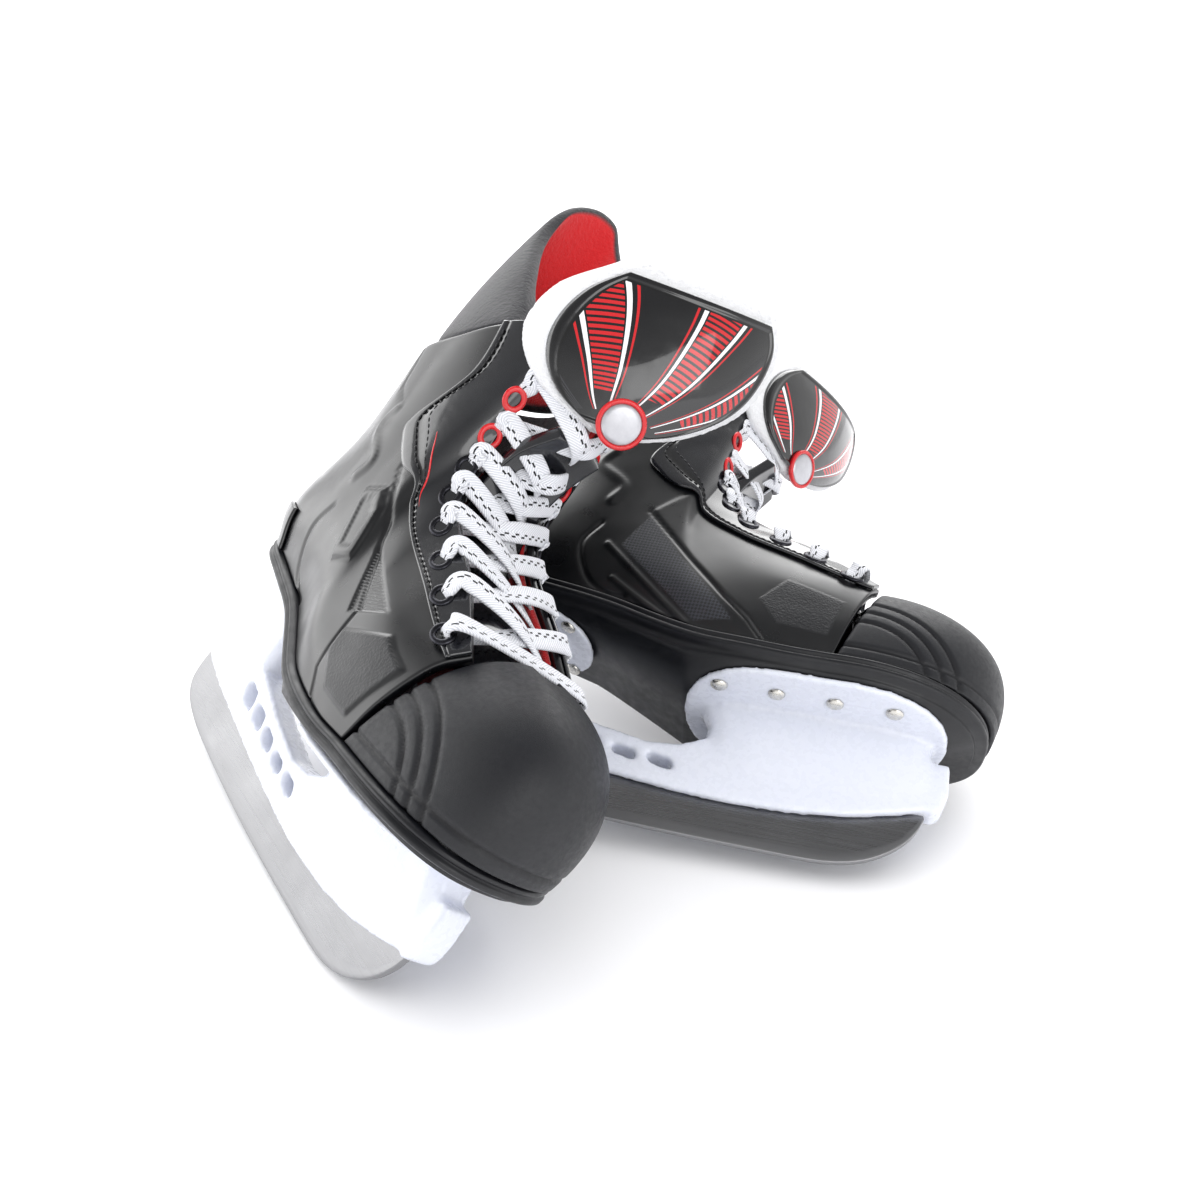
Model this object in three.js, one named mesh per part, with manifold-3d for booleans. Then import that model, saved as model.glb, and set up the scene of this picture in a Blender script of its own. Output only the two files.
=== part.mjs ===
// A pair of ice skates: moulded boots on white two-tower holders with steel runners.
// Millimetres, +Z up. Each skate is modelled about its own blade line (X heel to toe, Y to the
// wearer's left, Z up from the ice), then leaned into place against its partner.
import * as THREE from 'three';
import { mergeVertices } from 'three/addons/utils/BufferGeometryUtils.js';
import Module from 'manifold-3d';

const wasm = await Module();
wasm.setup();

// ---------------------------------------------------------------- driving dimensions
const BOOT_LENGTH = 280;          // heel to toe over the boot
const BOOT_WIDTH = 88;            // across the ball of the foot
const CUFF_HEIGHT = 250;          // ice to the top of the cuff
const SHELL_WALL = 3;             // moulded quarters
const FACING_WALL = 1.6;          // patent eyelet facings
const COUNTER_WALL = 1.8;         // outer heel counter
const CAP_WALL = 3.2;             // toe cap
const LINER_WALL = 2.8;           // felt lining
const GUARD_WALL = 7;             // padded tendon guard
const INSOLE_WALL = 4;
const SOLE_RIM = 7;               // depth of the beaded rim round the sole
const SOLE_LIP = 2.6;             // how far the sole rim stands out past the upper
const CLEARANCE = 0.4;            // between pieces that touch
const FLANGE_WALL = 3.2;          // holder flanges under the sole
const FRONT_FLANGE_WIDTH = 80;
const REAR_FLANGE_WIDTH = 50;
const TOWER_WIDTH = 26;           // holder towers where they meet the flanges
const KEEL_WIDTH = 13;            // holder along the blade
const BLADE_WALL = 3.2;           // runner steel
const BLADE_TANG = 7;             // how far the steel runs up into the holder
const WINDOW_COUNT = 5;           // slots in the holder's bridge
const WINDOW_LENGTH = 11;
const WINDOW_PITCH = 17;
const RIVET_HEAD = 7.6;
const RIVET_HEAD_HEIGHT = 1.7;
const RIVET_SHANK = 4;
const RIVET_DEPTH = 3.5;          // how far a rivet is clinched up into the sole
const FRONT_RIVETS_PER_SIDE = 4;
const FRONT_RIVET_SPACING = 25.5;
const REAR_RIVETS_PER_SIDE = 3;
const REAR_RIVET_SPACING = 16;
const EYELET_COUNT = 8;
const LACE_WALL = 1.6;
const TONGUE_WALL = 9;            // felt tongue pad
const TONGUE_FACE_WALL = 1.6;
const TONGUE_WIDTH = 86;
const DRAWN_TONGUE_WIDTH = 86; // the width the tongue's rows are drawn at
const GUARD_RISE = 108;           // tendon guard above the cuff at the heel
const RIGHT_POSE = { yaw: -56.81, pitch: 0.66, lean: -40.76, x: -221.57, y: 507.32 };
const LEFT_POSE = { yaw: -13.49, pitch: 2, lean: -63.12, x: -113.4, y: 432.64 };
const TONGUE_DROOP = { right: 0, left: 14 };     // degrees each tongue has flopped forward
const SAG = { right: 1, left: -1 };              // flank towards which each skate's soft parts sag

const lerp = (a, b, t) => a + (b - a) * t;

// ---------------------------------------------------------------- the last, drawn at one size and graded
const LAST = { length: 280, width: 88, height: 250 };
const gx = BOOT_LENGTH / LAST.length;
const gy = BOOT_WIDTH / LAST.width;
const gz = CUFF_HEIGHT / LAST.height;
const grade = ([x, y, z]) => new THREE.Vector3(x * gx, y * gy, z * gz);

// Columns run from the sole edge up to the cuff or throat, from the heel round to the toe cap joint.
const COLUMNS = [
  [[27, 0, 111], [20, 0, 130], [33, 0, 172], [42, 0, 222]],
  [[33, 18, 111], [27, 21, 130], [37, 18, 172], [46, 21, 222]],
  [[49, 28, 108], [45, 31, 130], [53, 28, 172], [60, 31, 223]],
  [[75, 31, 103], [72, 35, 128], [80, 36, 172], [86, 36, 231]],
  [[101, 33, 97], [98, 37, 125], [104, 36, 172], [113, 33, 246]],
  [[124, 37, 88], [121, 40, 117], [122, 35, 167], [139, 24, 250]],
  [[144, 41, 81], [140, 43, 104], [131, 34, 146], [136, 20, 203]],
  [[164, 43.5, 78], [161, 44, 99], [155, 38, 130], [148, 22.5, 170]],
  [[184, 44, 76.5], [184, 44, 98], [183, 40, 121], [187, 25, 148.5]],
  [[203.5, 43, 77], [209, 42.5, 96], [216, 37, 117], [221, 29, 127]],
].map((column) => column.map(grade));
const LAST_COLUMN = COLUMNS.length - 1;

const spline = (a, b, c, d, t) => new THREE.Vector3(
  ...['x', 'y', 'z'].map((k) => 0.5 * (2 * b[k] + (c[k] - a[k]) * t
    + (2 * a[k] - 5 * b[k] + 4 * c[k] - d[k]) * t * t
    + (3 * b[k] - a[k] - 3 * c[k] + d[k]) * t ** 3)),
);

function splineThrough(points, u) {
  const last = points.length - 1;
  const i = Math.min(Math.max(Math.floor(u), 0), last - 1);
  const before = i > 0 ? points[i - 1] : points[0].clone().multiplyScalar(2).sub(points[1]);
  const after = i + 2 <= last ? points[i + 2] : points[last].clone().multiplyScalar(2).sub(points[last - 1]);
  return spline(before, points[i], points[i + 1], after, u - i);
}

// Point of the upper's outer face: u counts columns from the heel, negative on the right-hand side; t climbs.
function upper(u, t) {
  const rows = [-1, 0, 1, 2, 3, 4, 5, 6, 7, 8, 9].map((i) => {
    const p = splineThrough(COLUMNS[Math.abs(i)], t * 3);
    return i < 0 ? p.setY(-p.y) : p;
  });
  const p = splineThrough(rows, Math.abs(u) + 1);
  return u < 0 ? p.setY(-p.y) : p;
}

function upperNormal(u, t) {
  const e = 0.02;
  const t0 = Math.max(t - e, 0);
  const t1 = Math.min(t + e, 1);
  const alongU = upper(Math.min(u + e, LAST_COLUMN), t).sub(upper(Math.max(u - e, -LAST_COLUMN), t));
  const alongT = upper(u, t1).sub(upper(u, t0));
  return alongT.cross(alongU).normalize();
}

const onUpper = (u, t, height) => upper(u, t).addScaledVector(upperNormal(u, t), height);

// ---------------------------------------------------------------- solids from grids and rings
function solid(positions, triangles) {
  const geometry = new THREE.BufferGeometry();
  const flat = positions.flatMap((p) => [p.x, p.y, p.z]);
  geometry.setAttribute('position', new THREE.Float32BufferAttribute(flat, 3));
  geometry.setIndex(triangles);
  const welded = mergeVertices(geometry, 1e-4);
  const index = [];
  const source = welded.index.array;
  for (let i = 0; i < source.length; i += 3) {
    const [a, b, c] = source.slice(i, i + 3);
    if (a !== b && b !== c && c !== a) index.push(a, b, c);
  }
  welded.setIndex(index);
  if (volume(welded) < 0) flip(welded);
  return welded;
}

function volume(geometry) {
  const p = geometry.attributes.position;
  const index = geometry.index.array;
  const [a, b, c] = [new THREE.Vector3(), new THREE.Vector3(), new THREE.Vector3()];
  let sum = 0;
  for (let i = 0; i < index.length; i += 3) {
    a.fromBufferAttribute(p, index[i]);
    b.fromBufferAttribute(p, index[i + 1]);
    c.fromBufferAttribute(p, index[i + 2]);
    sum += a.dot(b.cross(c));
  }
  return sum / 6;
}

function flip(geometry) {
  const index = geometry.index.array;
  for (let i = 0; i < index.length; i += 3) [index[i], index[i + 1]] = [index[i + 1], index[i]];
  return geometry;
}

const steps = (from, to, count) => Array.from({ length: count + 1 }, (_, i) => lerp(from, to, i / count));

// A curved sheet with two faces, outer(p, q) and inner(p, q), on a grid of the given p and q values.
function sheet(outer, inner, ps, qs) {
  const [across, along] = [ps.length - 1, qs.length - 1];
  const positions = [outer, inner].flatMap((face) => qs.flatMap((q) => ps.map((p) => face(p, q))));
  const triangles = [];
  const quad = (a, b, c, d) => triangles.push(a, b, c, a, c, d);
  const at = (i, j, k) => k * (across + 1) * (along + 1) + j * (across + 1) + i;
  for (let j = 0; j < along; j++) {
    for (let i = 0; i < across; i++) {
      const turn = ps[i] + ps[i + 1] < 0;
      for (const k of [0, 1]) {
        const corners = [at(i, j, k), at(i + 1, j, k), at(i + 1, j + 1, k), at(i, j + 1, k)];
        if (k) corners.reverse();
        if (turn !== (k === 1)) corners.push(corners.shift());
        quad(...corners);
      }
    }
  }
  for (let i = 0; i < across; i++) {
    quad(at(i, 0, 0), at(i, 0, 1), at(i + 1, 0, 1), at(i + 1, 0, 0));
    quad(at(i, along, 0), at(i + 1, along, 0), at(i + 1, along, 1), at(i, along, 1));
  }
  for (let j = 0; j < along; j++) {
    quad(at(0, j, 0), at(0, j + 1, 0), at(0, j + 1, 1), at(0, j, 1));
    quad(at(across, j, 0), at(across, j, 1), at(across, j + 1, 1), at(across, j + 1, 0));
  }
  return solid(positions, triangles);
}

// A body skinned over rings of equal point count. Point i lies across from point count - i, so the ends
// close with strips that run straight across.
function skin(rings) {
  const count = rings[0].length;
  const triangles = [];
  const quad = (a, b, c, d) => triangles.push(a, b, c, a, c, d);
  for (let k = 0; k < rings.length - 1; k++) {
    for (let i = 0; i < count; i++) {
      const j = (i + 1) % count;
      quad(k * count + i, k * count + j, (k + 1) * count + j, (k + 1) * count + i);
    }
  }
  const top = (rings.length - 1) * count;
  for (let i = 0; i < count / 2; i++) {
    const [a, b] = [(count - i) % count, count - i - 1];
    quad(i, a, b, i + 1);
    quad(top + i, top + i + 1, top + b, top + a);
  }
  return solid(rings.flat(), triangles);
}

const plate = (shape, height) => {
  const geometry = new THREE.ExtrudeGeometry(shape, { depth: height, bevelEnabled: false, curveSegments: 6 });
  return mergeVertices(geometry.deleteAttribute('normal').deleteAttribute('uv'), 1e-4);
};

const toManifold = (geometry) => {
  const clean = mergeVertices(geometry.clone().deleteAttribute('normal').deleteAttribute('uv'), 1e-4);
  return new wasm.Manifold(new wasm.Mesh({
    numProp: 3,
    vertProperties: new Float32Array(clean.attributes.position.array),
    triVerts: new Uint32Array(clean.index.array),
  }));
};

const fromManifold = (manifold) => {
  const mesh = manifold.getMesh();
  const geometry = new THREE.BufferGeometry();
  geometry.setAttribute('position', new THREE.Float32BufferAttribute(mesh.vertProperties, 3));
  geometry.setIndex(Array.from(mesh.triVerts));
  return geometry;
};

const combine = (solids, operation) => solids.map(toManifold).reduce((a, b) => a[operation](b));

// ---------------------------------------------------------------- boot
// Piecewise line through [position, value] pairs.
function along(pairs, x) {
  for (let i = 1; i < pairs.length; i++) {
    const [x0, y0] = pairs[i - 1];
    const [x1, y1] = pairs[i];
    const t = Math.min(Math.max((x - x0) / (x1 - x0), 0), 1);
    if (x <= x1 || i === pairs.length - 1) return lerp(y0, y1, t);
  }
  return pairs[0][1];
}

// Shells that lie on one another share these grid lines, so their facets stay parallel.
const GRID_U = [0.06, 0.4, 0.8, 1.2, 1.65, 2.2, 2.8, 3.5, 4.2, 4.8, 5.4, 6, 6.8, 7.6, 8.3, 8.97];
const GRID_T = [0, 0.14, 0.3, 0.48, 0.66, 0.83, 1];
const face = (height) => (u, t) => onUpper(u, t, height);

function quarter(side) {
  const us = side < 0 ? GRID_U.map((u) => -u).reverse() : GRID_U;
  return sheet(face(0), face(-SHELL_WALL), us, GRID_T);
}

// Rear edge of the eyelet facing as column and height pairs, from the cuff down to the toe cap.
const FACING_EDGE = [[4.45, 1], [4.85, 0.94], [5.4, 0.88], [6, 0.86], [7, 0.83], [8, 0.74], [8.95, 0.62]];
const FACING_LIFT = CLEARANCE * 2.8;

function facing(side) {
  const edge = FACING_EDGE.map(([u, v]) => new THREE.Vector3(u, v, 0));
  const band = (height) => (p, q) => {
    const inner = splineThrough(edge, Math.abs(p) * (FACING_EDGE.length - 1));
    const u = lerp(inner.x, lerp(4.95, 8.95, Math.abs(p)), q);
    return onUpper(side * u, Math.min(lerp(inner.y, 1, q), 1), height);
  };
  const ps = side < 0 ? steps(-1, 0, 14) : steps(0, 1, 14);
  return sheet(band(FACING_LIFT + FACING_WALL), band(FACING_LIFT), ps, steps(0, 1, 3));
}

function heelCounter() {
  const us = GRID_U.filter((u) => u < 2.3);
  const around = [...us.map((u) => -u).reverse(), ...us];
  return sheet(face(CLEARANCE + COUNTER_WALL), face(CLEARANCE), around, GRID_T.slice(0, 4));
}

const LINER_FACE = -(SHELL_WALL + CLEARANCE);

function liner() {
  const us = GRID_U.slice(0, -1);
  const around = [...us.map((u) => -u).reverse(), ...us];
  return sheet(face(LINER_FACE), face(LINER_FACE - LINER_WALL), around, GRID_T);
}

// Tendon guard: rises from the cuff, highest at the heel. w runs round it from -1 to 1.
const GUARD_REACH = 3.9;
const GUARD_LEAN = -4;
const GUARD_SAG = 9;
const GUARD_GAP = 2.5;

function guardPoint(w, t, depth, sag) {
  const base = onUpper(w * GUARD_REACH, 1, -SHELL_WALL);
  const inward = upperNormal(w * GUARD_REACH, 1).setZ(0).normalize().multiplyScalar(-depth);
  const crest = (1 - Math.abs(w - sag * 0.14 * (1 - w * w)) ** 2) ** 0.9;
  const rise = 4 + (GUARD_RISE - 4) * crest;
  return new THREE.Vector3(
    base.x + t * t * GUARD_LEAN * gx + inward.x,
    (base.y + inward.y) * (1 - 0.25 * t * t * crest) + sag * t * t * GUARD_SAG,
    base.z + GUARD_GAP + t * rise,
  );
}

const tendonGuard = (sag) => sheet((w, t) => guardPoint(w, t, 0, sag), (w, t) => guardPoint(w, t, GUARD_WALL, sag),
  steps(-1, 1, 14), steps(0, 1, 4));

// Toe cap: a blunt quarter dome from the ball joint forward. It swings out past the blade line and
// stands forward of the sole by the tuck.
const CAP = { rear: 204.2, lean: 0.34, reach: 75, width: 43.4, base: 77, rise: 60, roundness: 2.3, corner: 0.82,
  swing: 8, tuck: 5 };

function capPoint(s, q, inset) {
  const angle = lerp(-Math.PI / 2, Math.PI / 2, s);
  const ahead = Math.max(Math.cos(angle), 0) ** CAP.corner;
  const drop = (1 - q ** CAP.roundness) ** (1 / CAP.roundness);
  const z = CAP.base + (CAP.rise - inset / gz) * q;
  const rear = CAP.rear + CAP.lean * (z - CAP.base);
  return new THREE.Vector3(
    rear * gx + (CAP.reach * gx - inset) * drop * ahead,
    (CAP.width * gy - inset) * drop * Math.sign(angle) * Math.abs(Math.sin(angle)) ** CAP.corner
      - CAP.swing * gy * ahead ** 2,
    z * gz,
  );
}

const toeCap = () => sheet((s, t) => capPoint(s, t, 0), (s, t) => capPoint(s, t, CAP_WALL),
  steps(0, 1, 14), steps(0, 1, 7).map((t) => Math.sin((t * Math.PI) / 2) * 0.985));

// Sole edge seen from above: heel, one flank, toe, other flank.
function soleOutline(outset) {
  const flank = [];
  for (const u of [0.5, 1, 1.65, 2.2, 3, 3.65, 4.2, 5, 5.8, 6.6, 7.8, 9]) flank.push(upper(u, 0));
  const toe = [];
  for (let i = 1; i < 12; i++) {
    const tuck = CAP.tuck * Math.sin((i / 12) * Math.PI);
    toe.push(capPoint(1 - i / 12, 0, 0).sub(new THREE.Vector3(tuck, 0, 0)));
  }
  const mirrored = flank.map((p) => new THREE.Vector3(p.x, -p.y, p.z)).reverse();
  const ring = [upper(0, 0), ...flank, ...toe, ...mirrored];
  return ring.map((p, i) => {
    const next = ring[(i + 1) % ring.length];
    const previous = ring[(i + ring.length - 1) % ring.length];
    const out = new THREE.Vector2(next.y - previous.y, previous.x - next.x).normalize();
    return new THREE.Vector3(p.x - out.x * outset, p.y - out.y * outset, p.z);
  });
}

const lift = (ring, dz) => ring.map((p) => new THREE.Vector3(p.x, p.y, p.z + dz));

// Underside of the sole in side view: flat over the front tower, raked up to the heel.
const UNDERSIDE = [[24, 105], [92, 88], [140, 67.4], [290, 67.4]].map(([x, z]) => [x * gx, z * gz]);

function outsole() {
  const rim = [[SOLE_LIP, -SOLE_RIM], [SOLE_LIP - 1.2, -SOLE_RIM * 0.64],
    [SOLE_LIP, -SOLE_RIM * 0.3], [0, -CLEARANCE]];
  const rings = rim.map(([out, dz]) => lift(soleOutline(out), dz));
  const underside = soleOutline(-3.5).map((p) => new THREE.Vector3(p.x, p.y, along(UNDERSIDE, p.x)));
  return combine([skin([underside, ...rings]), ...rivetHoles()], 'subtract');
}

function insole() {
  const inset = -LINER_FACE + LINER_WALL + CLEARANCE + 1.2;
  const floor = lift(soleOutline(-inset), 1.5);
  return skin([floor, lift(floor, INSOLE_WALL)]);
}

// ---------------------------------------------------------------- tongue
// Centre line of the tongue from the toe up through the laces, with half widths.
const TONGUE_BASE = [[214, 0, 126, 17], [192, 0, 138, 18], [171, 0, 149, 17], [153, 0, 161, 15], [144, 0, 175, 14],
  [144, 0, 191, 13], [150, 0, 206, 12], [160, 2, 219, 9]];
// Centre line above the laces, where the tongue flops free; the two skates have sagged the same way.
const TONGUE_TOP = [[167.5, 4, 226.5, 5], [171, 5, 240, 30], [175, 7, 260, 43], [173, 8, 285, 42], [167, 8, 306, 28]];
const FLEX = grade(TONGUE_TOP[0]);               // line the tongue folds about

const tongueLine = (rows) => rows.map(grade);
const tongueHalf = (rows, v) => splineThrough(rows.map(([, , , half]) => new THREE.Vector3(half, 0, 0)), v).x;

function tonguePoint(rows, w, v, depth, margin, bow, lean) {
  const line = tongueLine(rows);
  const centre = splineThrough(line, v);
  const before = splineThrough(line, Math.max(v - 0.05, 0));
  const ahead = splineThrough(line, Math.min(v + 0.05, rows.length - 1)).sub(before);
  const half = (tongueHalf(rows, v) * TONGUE_WIDTH) / DRAWN_TONGUE_WIDTH;
  const back = new THREE.Vector3(-ahead.z, 0, ahead.x).normalize().multiplyScalar(depth);
  const y = w * (half - margin);
  const out = y / (TONGUE_WIDTH / 2);
  const down = lean * out;
  return new THREE.Vector3(
    centre.x - bow.wrap * out * out + bow.twist * down + back.x,
    centre.y * lean + y,
    centre.z + bow.roll * down + back.z - bow.arch * out * out,
  );
}

// How far the tongue curves round the shin, twists and rolls: unlaced, it sags under its own weight.
const FREE_BOW = {
  right: { wrap: 20, twist: 14, roll: 15, arch: 0 },
  left: { wrap: 16, twist: 20, roll: 18, arch: 0 },
};
const LACED_BOW = { wrap: 8, twist: 0, roll: 0, arch: 30 };

function droop(geometry, degrees) {
  const flexed = geometry.translate(-FLEX.x, 0, -FLEX.z);
  return flexed.rotateY(THREE.MathUtils.degToRad(degrees)).translate(FLEX.x, 0, FLEX.z);
}

function tonguePiece(rows, span, depths, margin, bow, lean) {
  const at = (depth) => (w, v) => tonguePoint(rows, w, v, depth, margin, bow, lean);
  return sheet(at(depths[0]), at(depths[1]), steps(-1, 1, 8), span);
}

const tongueBase = () => tonguePiece(TONGUE_BASE, steps(0, 7, 10), [0, TONGUE_WALL * 0.6], 0, LACED_BOW, 1);

function tonguePad(skate) {
  const depths = [CLEARANCE, CLEARANCE + TONGUE_WALL];
  const pad = tonguePiece(TONGUE_TOP, steps(0, 4, 8), depths, 0, FREE_BOW[skate], SAG[skate]);
  return droop(pad, TONGUE_DROOP[skate]);
}

function tongueFace(skate) {
  const span = [0.6, 1, 1.5, 2, 2.5, 3, 3.5, 3.75];
  const depths = [-TONGUE_FACE_WALL, 0];
  const skin = tonguePiece(TONGUE_TOP, span, depths, 6, FREE_BOW[skate], SAG[skate]);
  return droop(skin, TONGUE_DROOP[skate]);
}

// ---------------------------------------------------------------- lace
// Eyelets sit a fixed way in from the throat edge; e counts from the toe.
const EYELET_COLUMNS = [8.63, 8.08, 7.6, 7.13, 6.68, 6.25, 5.82, 5.4];
const EYELET_HEIGHTS = [0.85, 0.9, 0.925, 0.945, 0.955, 0.96, 0.965, 0.955];
// Rise of each crossing above its eyelets, where the tongue pushes it out.
const LACE_OVER = [0, 5, 5, 5, 7, 11, 19, 27];
const LACE_LIFT = FACING_LIFT + FACING_WALL + LACE_WALL + 0.8;

// Lace centre line. Two runs climb from the bar at the toe end, swapping sides at every eyelet and
// crossing over the tongue; each turns round on the outside of its eyelet.
function laceRun(first) {
  const points = [];
  for (let e = 0; e < EYELET_COUNT; e++) {
    const side = (e % 2 ? -1 : 1) * first;
    const edge = (shift) => onUpper(side * (EYELET_COLUMNS[e] + shift), 1, LACE_LIFT + 1.5);
    const turn = onUpper(side * EYELET_COLUMNS[e], EYELET_HEIGHTS[e] + 0.01, LACE_LIFT);
    if (e) {
      const last = points[points.length - 1];
      const middle = last.clone().add(edge(0.1)).multiplyScalar(0.5);
      const over = LACE_OVER[e] * gz + (first > 0 ? LACE_WALL + 1.6 : 0);
      const climb = edge(-0.3).sub(edge(0.3)).setY(0).normalize();
      points.push(middle.add(new THREE.Vector3(climb.z * over, 0, -climb.x * over)), edge(0.1));
    }
    points.push(turn);
    if (e < EYELET_COUNT - 1) points.push(edge(-0.1));
  }
  return points;
}

function lace() {
  const [a, b] = [laceRun(1), laceRun(-1)];
  const bar = [a[0], b[0]].map((p, i) => (
    onUpper((i ? -1 : 1) * EYELET_COLUMNS[0] * 1.012, 1, LACE_LIFT + 1.5)));
  const route = [...a.reverse(), bar[0], bar[1], ...b];
  const curve = new THREE.CatmullRomCurve3(route, false, 'centripetal');
  const section = new THREE.Shape();
  section.absellipse(0, 0, LACE_WALL / 2, LACE_WALL / 2, 0, Math.PI * 2);
  const count = Math.round(route.length * 1.6);
  const geometry = new THREE.ExtrudeGeometry(section, { steps: count, extrudePath: curve, curveSegments: 2 });
  return mergeVertices(geometry.deleteAttribute('normal').deleteAttribute('uv'), 1e-4);
}

// ---------------------------------------------------------------- holder, blade and rivets
const deck = (x) => along(UNDERSIDE, x) - CLEARANCE * 1.5;          // top of the flanges
const HEEL_RAKE = (UNDERSIDE[1][1] - UNDERSIDE[0][1]) / (UNDERSIDE[1][0] - UNDERSIDE[0][0]);
const HOLDER_LINE = [[2, 42], [14, 36], [36, 31.5], [66, 27.5], [93, 24], [120, 21], [145, 18.6], [170, 17.6],
  [195, 18.6], [218, 21.5], [236, 26], [252, 31]].map(([x, z]) => [x * gx, z * gz]);
const BLADE_EDGE = [[251, 29], [248, 22], [243, 15], [236, 9], [227, 4], [216, 1], [204, 0], [180, 0], [150, 0.4],
  [115, 1.4], [78, 3.4], [45, 6], [26, 8.5], [12, 12], [4, 16.5], [0.5, 22], [0, 30], [1, 38]]
  .map(([x, z]) => [x * gx, z * gz]);
const FRONT_RIVET_ROW = { x: 156 * gx, y: 25 * gy };
const REAR_RIVET_ROW = { x: 48 * gx, y: 17 * gy };

// Tilts a flat-lying piece about the line x so that it follows the raked heel.
const rake = (geometry, x) => geometry.applyMatrix4(
  new THREE.Matrix4().set(1, 0, 0, 0, 0, 1, 0, 0, HEEL_RAKE, 0, 1, -HEEL_RAKE * x, 0, 0, 0, 1),
);

// Turns a side-view outline of [x, z] pairs into a slab of the given width.
function sideSlab(outline, width) {
  const shape = new THREE.Shape(outline.map(([x, z]) => new THREE.Vector2(x, z)));
  return plate(shape, width).translate(0, 0, -width / 2).rotateX(Math.PI / 2);
}

const bladeTop = () => HOLDER_LINE.slice(1, -1).map(([x, z]) => [x, z + BLADE_TANG]);
const blade = () => sideSlab([...BLADE_EDGE, ...bladeTop()], BLADE_WALL);

function roundedFlange(x0, x1, width, topZ, pointed) {
  const half = width / 2;
  const shape = new THREE.Shape();
  const nose = pointed ? 44 * gx : half;
  shape.moveTo(x0 + half, -half);
  shape.lineTo(x1 - nose, -half);
  shape.bezierCurveTo(x1 - nose * 0.35, -half * 0.95, x1, -half * 0.55, x1, 0);
  shape.bezierCurveTo(x1, half * 0.55, x1 - nose * 0.35, half * 0.95, x1 - nose, half);
  shape.lineTo(x0 + half, half);
  shape.bezierCurveTo(x0 + half * 0.35, half, x0, half * 0.6, x0, 0);
  shape.bezierCurveTo(x0, -half * 0.6, x0 + half * 0.35, -half, x0 + half, -half);
  return plate(shape, FLANGE_WALL).translate(0, 0, topZ - FLANGE_WALL);
}

// A tower: rings of rounded rectangles [x0, x1, half width, z].
function tower(levels) {
  return skin(levels.map(([x0, x1, half, z]) => {
    const ring = [];
    const middle = (x0 + x1) / 2;
    for (let i = 0; i < 16; i++) {
      const a = (i / 16) * Math.PI * 2;
      const c = Math.cos(a);
      const s = Math.sin(a);
      ring.push(new THREE.Vector3(middle + ((x1 - x0) / 2) * Math.sign(c) * Math.abs(c) ** 0.55,
        half * Math.sign(s) * Math.abs(s) ** 0.55, z));
    }
    return ring;
  }));
}

const keelAt = (x) => along(HOLDER_LINE, x);

function holder() {
  const bridgeTop = [[260, 55], [245, 54], [160, 50], [143, 42], [128, 40.5],
    [98, 46], [72, 53], [50, 60], [12, 56]];
  const nose = [[252.5, 29], [257.5, 32], [260, 40]];
  const keelOutline = [...HOLDER_LINE, ...nose.map(([x, z]) => [x * gx, z * gz]),
    ...bridgeTop.map(([x, z]) => [x * gx, z * gz])];
  const keel = sideSlab(keelOutline, KEEL_WIDTH);
  const half = TOWER_WIDTH / 2;
  const frontDeck = deck(200 * gx);
  const frontTower = tower([
    [150 * gx, 258 * gx, KEEL_WIDTH / 2 + 0.6, 33 * gz], [152 * gx, 257 * gx, half * 0.72, 44 * gz],
    [153 * gx, 254 * gx, half * 0.88, 55 * gz], [147 * gx, 252 * gx, half, frontDeck - 1],
  ]);
  const rearX = 54 * gx;
  const rearTower = rake(tower([
    [10 * gx, 66 * gx, KEEL_WIDTH / 2 + 0.6, 47 * gz], [14 * gx, 66 * gx, half * 0.72, 60 * gz],
    [22 * gx, 70 * gx, half * 0.86, 76 * gz], [30 * gx, 82 * gx, half * 0.98, deck(rearX) - 1],
  ]), rearX);
  const frontFlange = roundedFlange(140 * gx, 259 * gx, FRONT_FLANGE_WIDTH * gy, frontDeck, true);
  const rearFlange = rake(roundedFlange(30 * gx, 92 * gx, REAR_FLANGE_WIDTH * gy, deck(rearX), false), rearX);
  const body = combine([keel, frontTower, rearTower, frontFlange, rearFlange], 'add');
  const cuts = [];
  for (let i = 0; i < WINDOW_COUNT; i++) {
    const x0 = (61 + i * WINDOW_PITCH) * gx;
    const x1 = x0 + WINDOW_LENGTH * gx;
    const low = keelAt(x0) + BLADE_TANG + 2.5;
    const high = Math.min(along([[61, 49.5], [98, 41.5], [128, 36], [150, 35]], x1 / gx) * gz, low + 14);
    const slot = [[x0 + 3, low], [x1 + 3, low - 2], [x1, high - 2], [x0 - 2, high]];
    cuts.push(sideSlab(slot, KEEL_WIDTH * 2));
  }
  const fit = CLEARANCE * 1.4;
  const top = bladeTop().map(([x, z]) => [x, z + fit]);
  const [toe, heel] = [BLADE_EDGE[0], BLADE_EDGE[BLADE_EDGE.length - 1]];
  cuts.push(sideSlab([[heel[0] - 6, 0], [heel[0] - 6, heel[1] + fit], [heel[0], heel[1] + fit], ...top,
    [toe[0] + fit, toe[1] + fit], [toe[0] + fit, 0]], BLADE_WALL + 2 * CLEARANCE));
  const cut = cuts.map(toManifold).reduce((a, b) => a.subtract(b), toManifold(fromManifold(body)));
  return rivetHoles().map(toManifold).reduce((a, b) => a.subtract(b), cut);
}

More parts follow.
